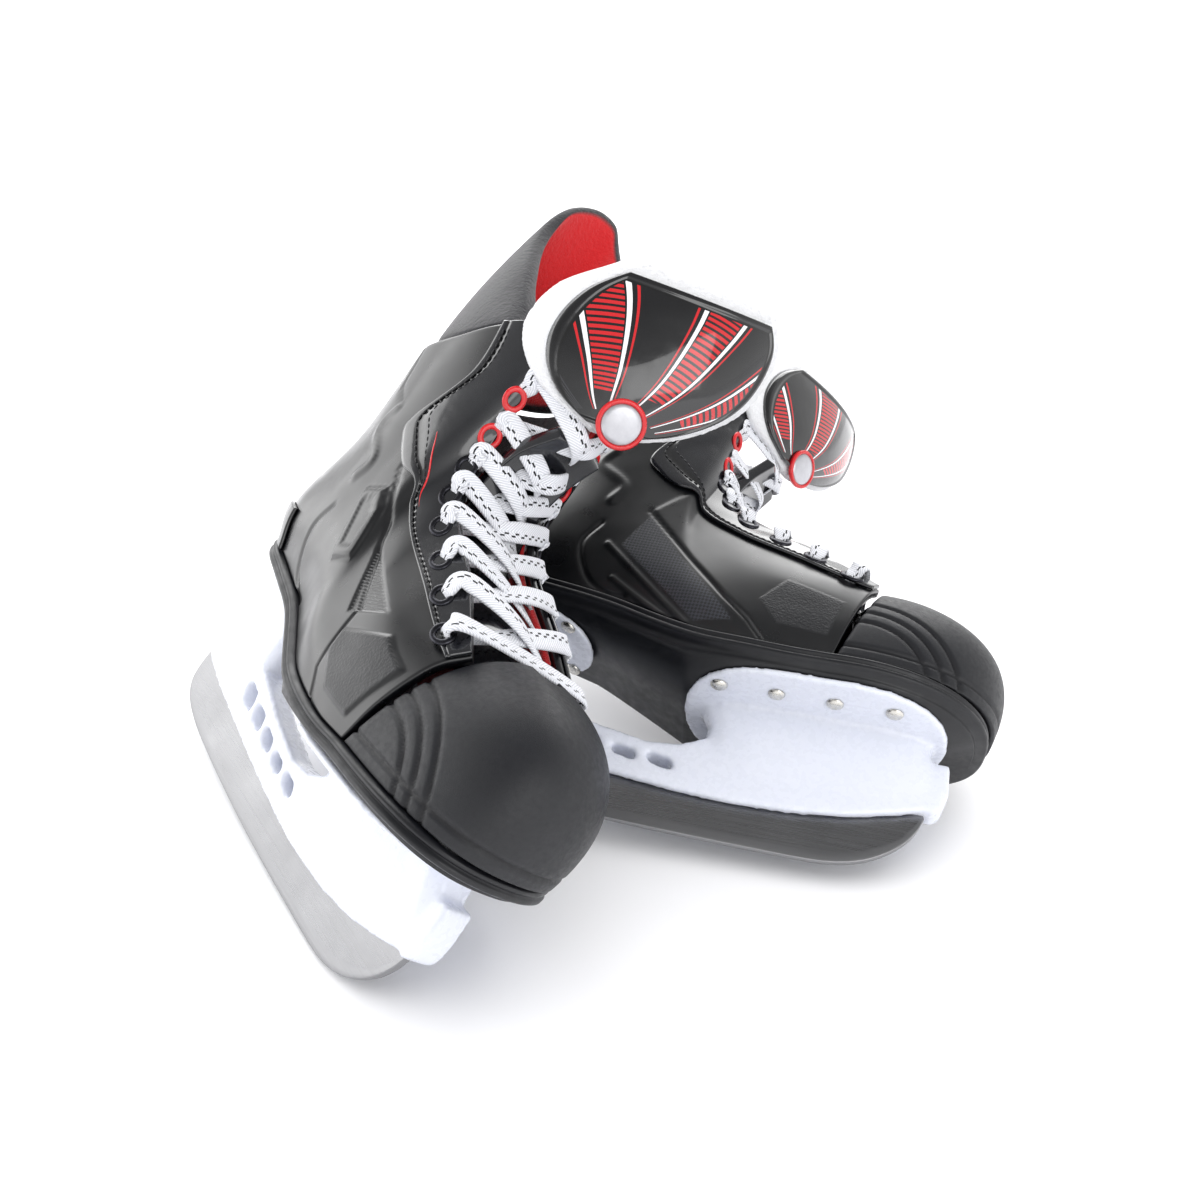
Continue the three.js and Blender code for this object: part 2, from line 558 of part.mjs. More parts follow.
// Rivets of both rows on both sides, named from heel to toe: side a is -Y, side b is +Y.
function rivetSpots() {
  const rows = [['front', FRONT_RIVETS_PER_SIDE, FRONT_RIVET_SPACING * gx, FRONT_RIVET_ROW],
    ['rear', REAR_RIVETS_PER_SIDE, REAR_RIVET_SPACING * gx, REAR_RIVET_ROW]];
  return rows.flatMap(([row, count, spacing, first]) => [-1, 1].flatMap((side) => (
    Array.from({ length: count }, (_, i) => ({
      name: `${row}_rivet_${side < 0 ? 'a' : 'b'}${i + 1}`,
      raked: row === 'rear',
      x: first.x + i * spacing,
      y: side * first.y,
    }))
  )));
}

const seat = (geometry, { raked, x, y }) => {
  const placed = geometry.rotateX(Math.PI / 2).translate(x, y, deck(x));
  return raked ? rake(placed, x) : placed;
};

const rivetHoles = () => rivetSpots().map((spot) => {
  const depth = RIVET_DEPTH + FLANGE_WALL + 2 + CLEARANCE;
  const hole = new THREE.CylinderGeometry(RIVET_SHANK / 2 + CLEARANCE, RIVET_SHANK / 2 + CLEARANCE, depth, 8);
  return seat(hole.translate(0, RIVET_DEPTH + CLEARANCE - depth / 2, 0), spot);
});

function rivet(spot) {
  const under = -FLANGE_WALL - CLEARANCE;
  const radius = RIVET_HEAD / 2;
  const profile = [[0, under - RIVET_HEAD_HEIGHT], [radius * 0.62, under - RIVET_HEAD_HEIGHT * 0.85],
    [radius, under - RIVET_HEAD_HEIGHT * 0.2], [radius, under], [RIVET_SHANK / 2, under],
    [RIVET_SHANK / 2, RIVET_DEPTH], [0, RIVET_DEPTH]].map(([r, z]) => new THREE.Vector2(r, z));
  const geometry = seat(new THREE.LatheGeometry(profile, 8), spot);
  return mergeVertices(geometry.deleteAttribute('normal').deleteAttribute('uv'), 1e-4);
}

// ---------------------------------------------------------------- assembly
const FINISHES = {
  moulded: { color: 0x15161a, roughness: 0.3, metalness: 0 },
  patent: { color: 0x0c0c0e, roughness: 0.12, metalness: 0 },
  rubber: { color: 0x1c1c20, roughness: 0.7, metalness: 0 },
  white: { color: 0xf2f3f6, roughness: 0.3, metalness: 0 },
  steel: { color: 0xb8bbbf, roughness: 0.3, metalness: 1 },
  nickel: { color: 0xc9c9c6, roughness: 0.2, metalness: 1 },
  felt: { color: 0xf4f4f4, roughness: 1, metalness: 0 },
  redFelt: { color: 0xc4161c, roughness: 1, metalness: 0 },
  lace: { color: 0xf7f7f7, roughness: 0.9, metalness: 0 },
};

const name = (skate, piece) => `${skate}_${piece}`;

// Outward normals for a part mirrored across the blade line.
const mirror = (geometry) => flip(geometry.scale(1, -1, 1));

function skateParts(skate) {
  return [
    ['blade', 'steel', blade()],
    ['holder', 'white', fromManifold(holder())],
    ['outsole', 'rubber', fromManifold(outsole())],
    ['toe_cap', 'rubber', toeCap()],
    ['quarter_lateral', 'moulded', quarter(-1)],
    ['quarter_medial', 'moulded', quarter(1)],
    ['facing_lateral', 'patent', facing(-1)],
    ['facing_medial', 'patent', facing(1)],
    ['heel_counter', 'moulded', heelCounter()],
    ['liner', 'redFelt', liner()],
    ['insole', 'felt', insole()],
    ['tendon_guard', 'redFelt', tendonGuard(SAG[skate])],
    ['tongue_base', 'felt', tongueBase()],
    ['tongue_pad', 'felt', tonguePad(skate)],
    ['tongue_face', 'patent', tongueFace(skate)],
    ['lace', 'lace', lace()],
    ...rivetSpots().map((spot) => [spot.name, 'nickel', rivet(spot)]),
  ];
}

function place(geometry, pose, floor) {
  const turn = new THREE.Euler(
    THREE.MathUtils.degToRad(pose.lean),
    THREE.MathUtils.degToRad(pose.pitch),
    THREE.MathUtils.degToRad(pose.yaw),
    'ZYX',
  );
  const matrix = new THREE.Matrix4().makeRotationFromEuler(turn);
  matrix.setPosition(pose.x * gx, pose.y * gx, -floor);
  return geometry.applyMatrix4(matrix);
}

const object = new THREE.Group();
object.name = 'ice_skates';
for (const [skate, pose] of [['right', RIGHT_POSE], ['left', LEFT_POSE]]) {
  const parts = skateParts(skate).map(([piece, finish, geometry]) => {
    const shaped = skate === 'left' ? mirror(geometry) : geometry;
    const mesh = new THREE.Mesh(place(shaped, pose, 0), new THREE.MeshStandardMaterial(FINISHES[finish]));
    mesh.name = name(skate, piece);
    return mesh;
  });
  const floor = Math.min(...parts.map((mesh) => new THREE.Box3().setFromObject(mesh, true).min.z));
  for (const mesh of parts) {
    mesh.geometry.translate(0, 0, -floor);
    object.add(mesh);
  }
}

// Origin at the middle of the footprint, on the floor.
const box = new THREE.Box3().setFromObject(object, true);
const middle = box.getCenter(new THREE.Vector3());
for (const mesh of object.children) mesh.geometry.translate(-middle.x, -middle.y, -box.min.z);

export default object;
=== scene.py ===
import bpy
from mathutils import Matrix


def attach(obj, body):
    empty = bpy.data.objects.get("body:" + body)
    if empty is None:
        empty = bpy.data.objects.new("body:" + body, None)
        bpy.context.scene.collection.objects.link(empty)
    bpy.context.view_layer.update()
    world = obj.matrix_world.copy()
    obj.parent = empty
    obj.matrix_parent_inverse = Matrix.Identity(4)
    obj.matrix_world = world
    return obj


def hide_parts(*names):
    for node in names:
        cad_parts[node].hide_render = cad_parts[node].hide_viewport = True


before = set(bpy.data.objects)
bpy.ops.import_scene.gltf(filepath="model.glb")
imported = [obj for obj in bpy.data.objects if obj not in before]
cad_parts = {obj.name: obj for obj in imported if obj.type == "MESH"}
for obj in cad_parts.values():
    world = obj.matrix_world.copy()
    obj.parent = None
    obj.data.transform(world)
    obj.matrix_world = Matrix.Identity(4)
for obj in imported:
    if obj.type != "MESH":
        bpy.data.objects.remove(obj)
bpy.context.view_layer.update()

import math

import bmesh
import bpy
import numpy as np
from mathutils import Matrix, Vector

SIDES = ("right", "left")


def lines(finished):
    return finished



# ------------------------------------------------------------------ each skate's place
POSES = {"right": (-56.81, 0.66, -40.76), "left": (-13.49, 2.0, -63.12)}
RIVET_CENTRE = (156.0, -25.0, 65.9)     # front rivet a1 in the skate's own millimetres


def turn(yaw, pitch, lean):
    z, y, x = (math.radians(a) for a in (yaw, pitch, lean))
    return np.array(Matrix.Rotation(z, 3, "Z") @ Matrix.Rotation(y, 3, "Y") @ Matrix.Rotation(x, 3, "X"))


def skate_frame(side):
    rotation = turn(*POSES[side])

    def centre(node):
        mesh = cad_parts[f"{side}_{node}"].data
        v = np.empty(len(mesh.vertices) * 3)
        mesh.vertices.foreach_get("co", v)
        own = v.reshape(-1, 3) * 1000 @ rotation
        return (own.min(0) + own.max(0)) / 2

    offset = centre("front_rivet_a1") - np.array(RIVET_CENTRE)
    offset[1] = centre("blade")[1]
    return rotation, rotation @ offset


FRAMES = {side: skate_frame(side) for side in SIDES}


def place(side, points):
    """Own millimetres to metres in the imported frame."""
    rotation, origin = FRAMES[side]
    p = np.array(points, float).reshape(-1, 3)
    if side == "left":
        p = p * (1, -1, 1)
    return (p @ rotation.T + origin) / 1000


# ------------------------------------------------------------------ camera first
CAMERA_AT = (0.0040, -0.5058, 0.3013)
CAMERA_DIP = math.radians(24.327)
CAMERA_ROLL = math.radians(-1.63)
CAMERA_LENS = 33.86
CAMERA_FILM = 36
camera_data = bpy.data.cameras.new("camera")
camera_data.lens = CAMERA_LENS
camera_data.sensor_width = CAMERA_FILM
camera = bpy.data.objects.new("camera", camera_data)
roll = Matrix.Rotation(CAMERA_ROLL, 4, "Y")
camera.matrix_world = (Matrix.Translation(CAMERA_AT) @ roll
                       @ Matrix.Rotation(math.pi / 2 - CAMERA_DIP, 4, "X"))
bpy.context.scene.collection.objects.link(camera)
bpy.context.scene.camera = camera


# ------------------------------------------------------------------ the last
COLUMNS = np.array([
    [[27, 0, 111], [20, 0, 130], [33, 0, 172], [42, 0, 222]],
    [[33, 18, 111], [27, 21, 130], [37, 18, 172], [46, 21, 222]],
    [[49, 28, 108], [45, 31, 130], [53, 28, 172], [60, 31, 223]],
    [[75, 31, 103], [72, 35, 128], [80, 36, 172], [86, 36, 231]],
    [[101, 33, 97], [98, 37, 125], [104, 36, 172], [113, 33, 246]],
    [[124, 37, 88], [121, 40, 117], [122, 35, 167], [139, 24, 250]],
    [[144, 41, 81], [140, 43, 104], [131, 34, 146], [136, 20, 203]],
    [[164, 43.5, 78], [161, 44, 99], [155, 38, 130], [148, 22.5, 170]],
    [[184, 44, 76.5], [184, 44, 98], [183, 40, 121], [187, 25, 148.5]],
    [[203.5, 43, 77], [209, 42.5, 96], [216, 37, 117], [221, 29, 127]]], dtype=float)
LAST_COLUMN = len(COLUMNS) - 1


def catmull(points, u):
    """Points at the parameters u on the curve through (k, 3) points, or one curve for each u (k, n, 3)."""
    points = np.asarray(points, float)
    u = np.atleast_1d(np.asarray(u, float))
    if points.ndim == 2:
        points = np.repeat(points[:, None, :], len(u), 1)
    last = len(points) - 1
    full = np.concatenate([2 * points[:1] - points[1:2], points, 2 * points[-1:] - points[-2:-1]])
    i = np.clip(np.floor(u).astype(int), 0, last - 1)
    n = np.arange(len(u))
    a, b, c, d = (full[i + k, n] for k in range(4))
    t = (u - i)[:, None]
    return 0.5 * (2 * b + (c - a) * t + (2 * a - 5 * b + 4 * c - d) * t ** 2
                  + (3 * b - a - 3 * c + d) * t ** 3)


def pair(u, t):
    u, t = np.broadcast_arrays(np.atleast_1d(np.asarray(u, float)), np.atleast_1d(np.asarray(t, float)))
    return u.ravel(), t.ravel()


def upper(u, t):
    """Outer face of the boot: u counts columns from the heel, negative on the right-hand flank; t climbs."""
    u, t = pair(u, t)
    rows = [catmull(column, t * 3) for column in COLUMNS]
    rows.insert(0, rows[1] * [1, -1, 1])
    p = catmull(np.array(rows), np.abs(u) + 1)
    p[:, 1] *= np.where(u < 0, -1, 1)
    return p


def upper_normal(u, t):
    e = 0.02
    u, t = pair(u, t)
    du = upper(np.minimum(u + e, LAST_COLUMN), t) - upper(np.maximum(u - e, -LAST_COLUMN), t)
    dt = upper(u, np.minimum(t + e, 1)) - upper(u, np.maximum(t - e, 0))
    n = np.cross(dt, du)
    return n / np.linalg.norm(n, axis=1, keepdims=True)


def on_upper(u, t, height):
    return upper(u, t) + upper_normal(u, t) * np.reshape(height, (-1, 1))


# ------------------------------------------------------------------ meshes
def polygon_distance(points, polygon):
    """Signed distance to a closed polygon in millimetres: negative inside."""
    q = np.asarray(polygon, float)
    best = np.full(len(points), 1e9)
    inside = np.zeros(len(points), bool)
    for a, b in zip(q, np.roll(q, -1, 0)):
        ab = b - a
        t = np.clip(((points - a) @ ab) / (ab @ ab), 0, 1)
        best = np.minimum(best, np.linalg.norm(points - a - t[:, None] * ab, axis=1))
        crosses = (a[1] > points[:, 1]) != (b[1] > points[:, 1])
        slope = np.where(ab[1] == 0, 1e-9, ab[1])
        inside ^= crosses & (points[:, 0] < a[0] + (points[:, 1] - a[1]) * ab[0] / slope)
    return np.where(inside, -best, best)


def line_distance(points, line):
    q = np.asarray(line, float)
    best = np.full(len(points), 1e9)
    for a, b in zip(q[:-1], q[1:]):
        ab = b - a
        t = np.clip(((points - a) @ ab) / (ab @ ab), 0, 1)
        best = np.minimum(best, np.linalg.norm(points - a - t[:, None] * ab, axis=1))
    return best


def smooth(x, low, high):
    t = np.clip((np.asarray(x, float) - low) / (high - low), 0, 1)
    return t * t * (3 - 2 * t)


def piece(name, side, points, faces, material, body, nodes=(), marks=None):
    """A mesh piece from own-millimetre points. Its own coordinates are kept as the attribute "own"."""
    own = np.asarray(points, float)
    mesh = bpy.data.meshes.new(name)
    turned = [tuple(f[::-1]) for f in faces] if side == "left" else [tuple(f) for f in faces]
    mesh.from_pydata(place(side, own).tolist(), [], turned)
    mesh.materials.append(material)
    attribute = mesh.attributes.new("own", "FLOAT_VECTOR", "POINT")
    attribute.data.foreach_set("vector", own.ravel())
    for key, values in (marks or {}).items():
        values = np.asarray(values, float)
        if values.ndim == 1:
            mesh.attributes.new(key, "FLOAT", "POINT").data.foreach_set("value", values)
        else:
            mesh.attributes.new(key, "FLOAT_VECTOR", "POINT").data.foreach_set("vector", values.ravel())
    mesh.polygons.foreach_set("use_smooth", [True] * len(mesh.polygons))
    mesh.update()
    made = bpy.data.objects.new(name, mesh)
    bpy.context.scene.collection.objects.link(made)
    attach(made, body)
    if nodes:
        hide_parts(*nodes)
    return made


def grid_faces(across, along, start=0, wrap=False):
    faces = []
    for j in range(along - 1):
        for i in range(across if wrap else across - 1):
            a, b = start + j * across + i, start + j * across + (i + 1) % across
            faces.append((a, b, b + across, a + across))
    return faces


def wall(outer, inner, across, along):
    """A closed sheet from two point grids of the same size, with the winding taken from its volume."""
    points = np.vstack([outer, inner])
    n = across * along
    faces = grid_faces(across, along) + [f[::-1] for f in grid_faces(across, along, n)]
    for i in range(across - 1):
        faces.append((i, n + i, n + i + 1, i + 1))
        a = (along - 1) * across + i
        faces.append((a, a + 1, n + a + 1, n + a))
    for j in range(along - 1):
        a, b = j * across, (j + 1) * across
        faces.append((a, b, n + b, n + a))
        a, b = a + across - 1, b + across - 1
        faces.append((a, n + a, n + b, b))
    return points, outward(points, faces)


def outward(points, faces):
    f = np.array([face for face in faces if len(face) == 4])
    a, b, c, d = (points[f[:, k]] for k in range(4))
    volume = sum(np.einsum("ij,ij->i", a, np.cross(p, q)).sum() for p, q in ((b, c), (c, d)))
    return faces if volume > 0 else [face[::-1] for face in faces]


def edged(low, high, count, lip):
    """Even steps with a tight pair at each end, so that a rounded edge has somewhere to turn."""
    span = high - low
    inner = np.linspace(low + lip * span, high - lip * span, count)
    return np.concatenate([[low, low + lip * span * 0.3], inner, [high - lip * span * 0.3, high]])


def crossed(across, along):
    """Both coordinates of every point of a grid, one row after another."""
    return [a.ravel() for a in np.meshgrid(across, along)]


def edge_drop(across, along, drop):
    """How far the outer face is lowered at the borders of an edged grid."""
    i = np.minimum(np.arange(across), np.arange(across)[::-1])
    j = np.minimum(np.arange(along), np.arange(along)[::-1])
    ring = np.minimum(*np.meshgrid(i, j))
    return np.select([ring == 0, ring == 1], [drop, drop * 0.28], 0).ravel()


def tube(centres, sections, ups):
    """Sweeps sections (n, k, 2) along centres; the first axis lies along ups."""
    c = np.asarray(centres, float)
    forward = np.gradient(c, axis=0)
    forward /= np.linalg.norm(forward, axis=1, keepdims=True)
    side = np.asarray(ups, float)
    side = side - forward * np.einsum("ij,ij->i", side, forward)[:, None]
    side /= np.linalg.norm(side, axis=1, keepdims=True)
    third = np.cross(forward, side)
    s = np.asarray(sections, float)
    if s.ndim == 2:
        s = np.repeat(s[None], len(c), 0)
    points = c[:, None] + side[:, None] * s[..., :1] + third[:, None] * s[..., 1:]
    k = s.shape[1]
    faces = grid_faces(k, len(c), wrap=True)
    flat = points.reshape(-1, 3)
    faces += [tuple(range(k))[::-1], tuple(len(flat) - k + i for i in range(k))]
    return flat, outward(flat, faces)


def lathe(profile, count):
    """Rings of [radius, height] about Z, closed at both ends by small discs."""
    rings = [[(r * math.cos(2 * math.pi * i / count), r * math.sin(2 * math.pi * i / count), z)
              for i in range(count)] for r, z in profile]
    points = np.array(rings).reshape(-1, 3)
    faces = grid_faces(count, len(profile), wrap=True)
    faces += [tuple(range(count))[::-1], tuple(len(points) - count + i for i in range(count))]
    return points, outward(points, faces)


def moulded(name, node, side, material, body, voxel, passes):
    """The node's own solid with its corners softened the way a mould leaves them."""
    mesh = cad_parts[node].data.copy()
    bm = bmesh.new()
    bm.from_mesh(mesh)
    bmesh.ops.remove_doubles(bm, verts=bm.verts, dist=1e-6)
    bm.to_mesh(mesh)
    bm.free()
    made = bpy.data.objects.new(name, mesh)
    bpy.context.scene.collection.objects.link(made)
    remesh = made.modifiers.new("remesh", "REMESH")
    remesh.mode = "VOXEL"
    remesh.voxel_size = voxel / 1000
    soften = made.modifiers.new("soften", "SMOOTH")
    soften.factor = 0.5
    soften.iterations = passes
    bpy.context.view_layer.update()
    result = bpy.data.meshes.new_from_object(made.evaluated_get(bpy.context.evaluated_depsgraph_get()))
    made.modifiers.clear()
    made.data = result
    result.materials.clear()
    result.materials.append(material)
    result.polygons.foreach_set("use_smooth", [True] * len(result.polygons))
    v = np.empty(len(result.vertices) * 3)
    result.vertices.foreach_get("co", v)
    rotation, origin = FRAMES[side]
    own = (v.reshape(-1, 3) * 1000 - origin) @ rotation
    if side == "left":
        own = own * (1, -1, 1)
    result.attributes.new("own", "FLOAT_VECTOR", "POINT").data.foreach_set("vector", own.ravel())
    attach(made, body)
    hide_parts(node)
    return made


# ------------------------------------------------------------------ materials
def linear(code, alpha=1.0):
    """sRGB hex to linear colour."""
    channels = [int(code[i:i + 2], 16) / 255 for i in (0, 2, 4)]
    return [c / 12.92 if c <= 0.04045 else ((c + 0.055) / 1.055) ** 2.4 for c in channels] + [alpha]


def add(tree, kind, settings=None, **inputs):
    """Adds a node. An input is a value or (node, output); a name's underscores stand for spaces."""
    made = tree.nodes.new(kind)
    for key, value in (settings or {}).items():
        setattr(made, key, value)
    for key, value in inputs.items():
        label = int(key[1:]) if key[0] == "i" and key[1:].isdigit() else key.replace("_", " ")
        socket = made.inputs[label]
        if isinstance(value, tuple) and hasattr(value[0], "outputs"):
            tree.links.new(value[0].outputs[value[1]], socket)
        else:
            socket.default_value = value
    return made


def surface(name, **base):
    """A material with a Principled shader and the piece's own coordinates in millimetres."""
    material = bpy.data.materials.new(name)
    material.use_nodes = True
    tree = material.node_tree
    tree.nodes.clear()
    shader = add(tree, "ShaderNodeBsdfPrincipled", **base)
    add(tree, "ShaderNodeOutputMaterial", Surface=(shader, 0))
    own = add(tree, "ShaderNodeAttribute", {"attribute_name": "own"})
    return material, tree, shader, (own, "Vector")


def link(tree, source, shader, name):
    tree.links.new(source[0].outputs[source[1]], shader.inputs[name])


def mixed(tree, factor, a, b):
    return (add(tree, "ShaderNodeMix", {"data_type": "RGBA"}, i0=factor, i6=a, i7=b), 2)


def ramp(tree, source, low, high, out_low, out_high):
    return (add(tree, "ShaderNodeMapRange", Value=source, From_Min=low, From_Max=high,
                To_Min=out_low, To_Max=out_high), 0)


def noise(tree, vector, scale, detail=3.0):
    return (add(tree, "ShaderNodeTexNoise", Vector=vector, Scale=scale, Detail=detail), "Fac")


def maths(tree, operation, a, b=0.0, c=0.0):
    return (add(tree, "ShaderNodeMath", {"operation": operation}, i0=a, i1=b, i2=c), 0)


def times(tree, a, b):
    return maths(tree, "MULTIPLY", a, b)


def times_plus(tree, a, b, c):
    return maths(tree, "MULTIPLY_ADD", a, b, c)


def above(tree, a, b):
    return maths(tree, "GREATER_THAN", a, b)


def below(tree, a, b):
    return maths(tree, "LESS_THAN", a, b)


def bump(tree, shader, height, strength, distance=0.001):
    link(tree, (add(tree, "ShaderNodeBump", Height=height, Strength=strength, Distance=distance), 0),
         shader, "Normal")


def uneven_gloss(tree, shader, own, scale, low, high):
    """Roughness that wanders between two values."""
    link(tree, ramp(tree, noise(tree, own, scale), 0.3, 0.7, low, high), shader, "Roughness")


def uneven_colour(tree, shader, own, scale, one, other):
    """A colour that wanders between two sRGB codes."""
    link(tree, mixed(tree, noise(tree, own, scale), linear(one), linear(other)), shader, "Base Color")


def mark(tree, name):
    return (add(tree, "ShaderNodeAttribute", {"attribute_name": name}), "Fac")


def stripes(tree, vector, angle, pitch):
    """0 to 1 ridges of a pitch in millimetres across an angle in the XZ plane."""
    parts = add(tree, "ShaderNodeSeparateXYZ", Vector=vector)
    x = times(tree, (parts, "X"), math.cos(angle))
    z = times(tree, (parts, "Z"), math.sin(angle))
    run = times(tree, maths(tree, "ADD", x, z), 2 * math.pi / pitch)
    return times_plus(tree, maths(tree, "SINE", run), 0.5, 0.5)


def weave(tree, vector, pitch):
    a = stripes(tree, vector, math.radians(38), pitch)
    b = stripes(tree, vector, math.radians(-52), pitch)
    check = above(tree, a, 0.5), above(tree, b, 0.5)
    return maths(tree, "ABSOLUTE", maths(tree, "SUBTRACT", check[0], check[1]))


def polyurethane():
    """Injection-moulded polyurethane: deep black, glossy, with a soft waviness from the mould."""
    mat, tree, bsdf, own = surface("moulded_polyurethane", Roughness=0.3, IOR=1.5, Coat_Weight=0.35,
                                   Coat_Roughness=0.22)
    grain, ripple, carbon = (mark(tree, k) for k in ("grain", "ripple", "carbon"))
    base = mixed(tree, grain, linear("08090C"), linear("101115"))
    fibre = weave(tree, own, 2.4)
    base = mixed(tree, times(tree, carbon, ramp(tree, fibre, 0, 1, 0.2, 1)), base, linear("2A2C33"))
    link(tree, base, bsdf, "Base Color")
    rough = ramp(tree, noise(tree, own, 0.08), 0.3, 0.7, 0.26, 0.36)
    rough = times_plus(tree, grain, 0.25, rough)
    rough = times_plus(tree, carbon, 0.16, rough)
    link(tree, rough, bsdf, "Roughness")
    leather = noise(tree, own, 0.9, 6)
    cells = (add(tree, "ShaderNodeTexVoronoi", Vector=own, Scale=0.9), 0)
    height = times(tree, grain, maths(tree, "ADD", leather, times(tree, cells, 0.5)))
    height = times_plus(tree, times(tree, ripple, stripes(tree, own, 1.9, 1.5)), 1.2, height)
    height = times_plus(tree, times(tree, carbon, fibre), 0.25, height)
    bump(tree, bsdf, height, 0.55, 0.0006)
    return mat


def patent_leather():
    """Patent leather: a thick clear skin over black, so its reflections are sharp."""
    mat, tree, bsdf, own = surface("patent_leather", Roughness=0.16, IOR=1.5, Coat_Weight=0.9,
                                   Coat_Roughness=0.08)
    seam = mark(tree, "seam")
    tint = mixed(tree, noise(tree, own, 0.05), linear("0B0C10"), linear("16171C"))
    link(tree, mixed(tree, seam, tint, linear("050506")), bsdf, "Base Color")
    uneven_gloss(tree, bsdf, own, 0.06, 0.14, 0.24)
    bump(tree, bsdf, noise(tree, own, 0.12, 2), 0.2, 0.001)
    return mat


def grained_plastic():
    """Toe cap: tough moulded plastic with a fine spark-eroded grain, matt with a faint sheen."""
    mat, tree, bsdf, own = surface("grained_plastic", Roughness=0.5, IOR=1.48)
    groove = mark(tree, "groove")
    base = mixed(tree, noise(tree, own, 0.05), linear("0F1014"), linear("17181D"))
    # The grooves are painted darker (0C0C10): painted shade in the recesses of the same plastic.
    link(tree, mixed(tree, groove, base, linear("0C0C10")), bsdf, "Base Color")
    uneven_gloss(tree, bsdf, own, 0.5, 0.42, 0.56)
    bump(tree, bsdf, noise(tree, own, 3.2, 5), 0.35, 0.0003)
    return mat


def rubber():
    """Sole unit: moulded rubbery plastic, semi-matt."""
    mat, tree, bsdf, own = surface("moulded_rubber", Roughness=0.42, IOR=1.48)
    uneven_colour(tree, bsdf, own, 0.06, "0A0B0F", "121318")
    uneven_gloss(tree, bsdf, own, 0.2, 0.32, 0.48)
    bump(tree, bsdf, noise(tree, own, 2.0, 4), 0.15, 0.0003)
    return mat


def nylon():
    """Holder: glossy white nylon, slightly translucent, faint blue in its shadows."""
    mat, tree, bsdf, own = surface("white_nylon", Roughness=0.28, IOR=1.5, Coat_Weight=0.3,
                                   Subsurface_Weight=0.12, Subsurface_Radius=(0.004, 0.004, 0.005),
                                   Subsurface_Scale=1.0)
    uneven_colour(tree, bsdf, own, 0.03, "DDE0EA", "D6DAE6")
    uneven_gloss(tree, bsdf, own, 0.3, 0.22, 0.34)
    bump(tree, bsdf, noise(tree, own, 2.5, 2), 0.04, 0.0002)
    return mat


def steel():
    """Runner: ground stainless steel, drawn along its length, with a duller ground band at its edge."""
    mat, tree, bsdf, own = surface("ground_steel", Metallic=1.0, Roughness=0.3)
    stretched = (add(tree, "ShaderNodeVectorMath", {"operation": "MULTIPLY"}, i0=own, i1=(0.02, 1.0, 3.0)), 0)
    streak = noise(tree, stretched, 1.0, 6)
    cloud = noise(tree, own, 0.03, 3)
    band = ramp(tree, (add(tree, "ShaderNodeAttribute", {"attribute_name": "ground"}), "Fac"), 0, 1, 0, 1)
    tone = mixed(tree, times(tree, cloud, streak), linear("7C7C7E"), linear("B6B6B8"))
    link(tree, mixed(tree, band, tone, linear("98989A")), bsdf, "Base Color")
    link(tree, times_plus(tree, band, 0.14, ramp(tree, streak, 0.3, 0.7, 0.22, 0.4)), bsdf, "Roughness")
    bump(tree, bsdf, streak, 0.12, 0.0003)
    return mat


def plated(name, low, high):
    """Rivets and eyelet rims: nickel plate over pressed steel."""
    mat, tree, bsdf, own = surface(name, Metallic=1.0, Roughness=0.25)
    uneven_colour(tree, bsdf, own, 0.3, low, high)
    uneven_gloss(tree, bsdf, own, 0.8, 0.18, 0.34)
    bump(tree, bsdf, noise(tree, own, 1.5, 3), 0.1, 0.0003)
    return mat


def enamel():
    """Red eyelets: painted brass rings."""
    mat, tree, bsdf, own = surface("red_enamel", Roughness=0.3, IOR=1.5, Coat_Weight=0.4)
    uneven_colour(tree, bsdf, own, 0.4, "D8121C", "B80D16")
    uneven_gloss(tree, bsdf, own, 0.6, 0.24, 0.38)
    return mat


def felt(name, low, high, dark):
    """Felts and knits: short fibres, no gloss, a soft sheen at the edges."""
    mat, tree, bsdf, own = surface(name, Roughness=0.95, IOR=1.45, Sheen_Weight=0.4, Sheen_Roughness=0.5)
    fibre = noise(tree, own, 1.6, 8)
    base = mixed(tree, fibre, linear(low), linear(high))
    # The "dark" mark turns the felt dark: the guard's dark faces and the rear lining, and painted shade low
    # in the front lining.
    link(tree, mixed(tree, mark(tree, "dark"), base, linear(dark)), bsdf, "Base Color")
    bump(tree, bsdf, maths(tree, "ADD", fibre, noise(tree, own, 0.5, 3)), 0.6, 0.0009)
    return mat


def braided_polyester():
    """Lace: flat polyester braid, a herringbone of 1.5 mm yarns with two broken rows of black flecks."""
    mat, tree, bsdf, own = surface("braided_polyester", Roughness=0.8, IOR=1.5, Sheen_Weight=0.25)
    weft = (add(tree, "ShaderNodeAttribute", {"attribute_name": "ribbon"}), "Vector")
    parts = add(tree, "ShaderNodeSeparateXYZ", Vector=weft)
    run, off = (parts, "X"), (parts, "Y")
    slant = times_plus(tree, maths(tree, "ABSOLUTE", off), 1.1, run)
    braid = times_plus(tree, maths(tree, "SINE", times(tree, slant, 2 * math.pi / 1.5)), 0.5, 0.5)
    rows = []
    for centre, phase in ((0.95, 0.0), (2.05, 3.3)):
        near = below(tree, maths(tree, "ABSOLUTE", maths(tree, "SUBTRACT", off, centre)), 0.42)
        step = maths(tree, "MODULO", maths(tree, "ADD", run, 400 + phase), 5.4)
        rows.append(times(tree, near, below(tree, step, 2.1)))
    fleck = maths(tree, "MAXIMUM", rows[0], rows[1])
    # The braid's low lines are painted greyer than its crests: painted shade between the yarns.
    base = mixed(tree, braid, linear("C9CBD3"), linear("EDEEF2"))
    link(tree, mixed(tree, fleck, base, linear("0E0E12")), bsdf, "Base Color")
    bump(tree, bsdf, maths(tree, "ADD", braid, noise(tree, own, 1.5, 4)), 0.45, 0.0006)
    return mat


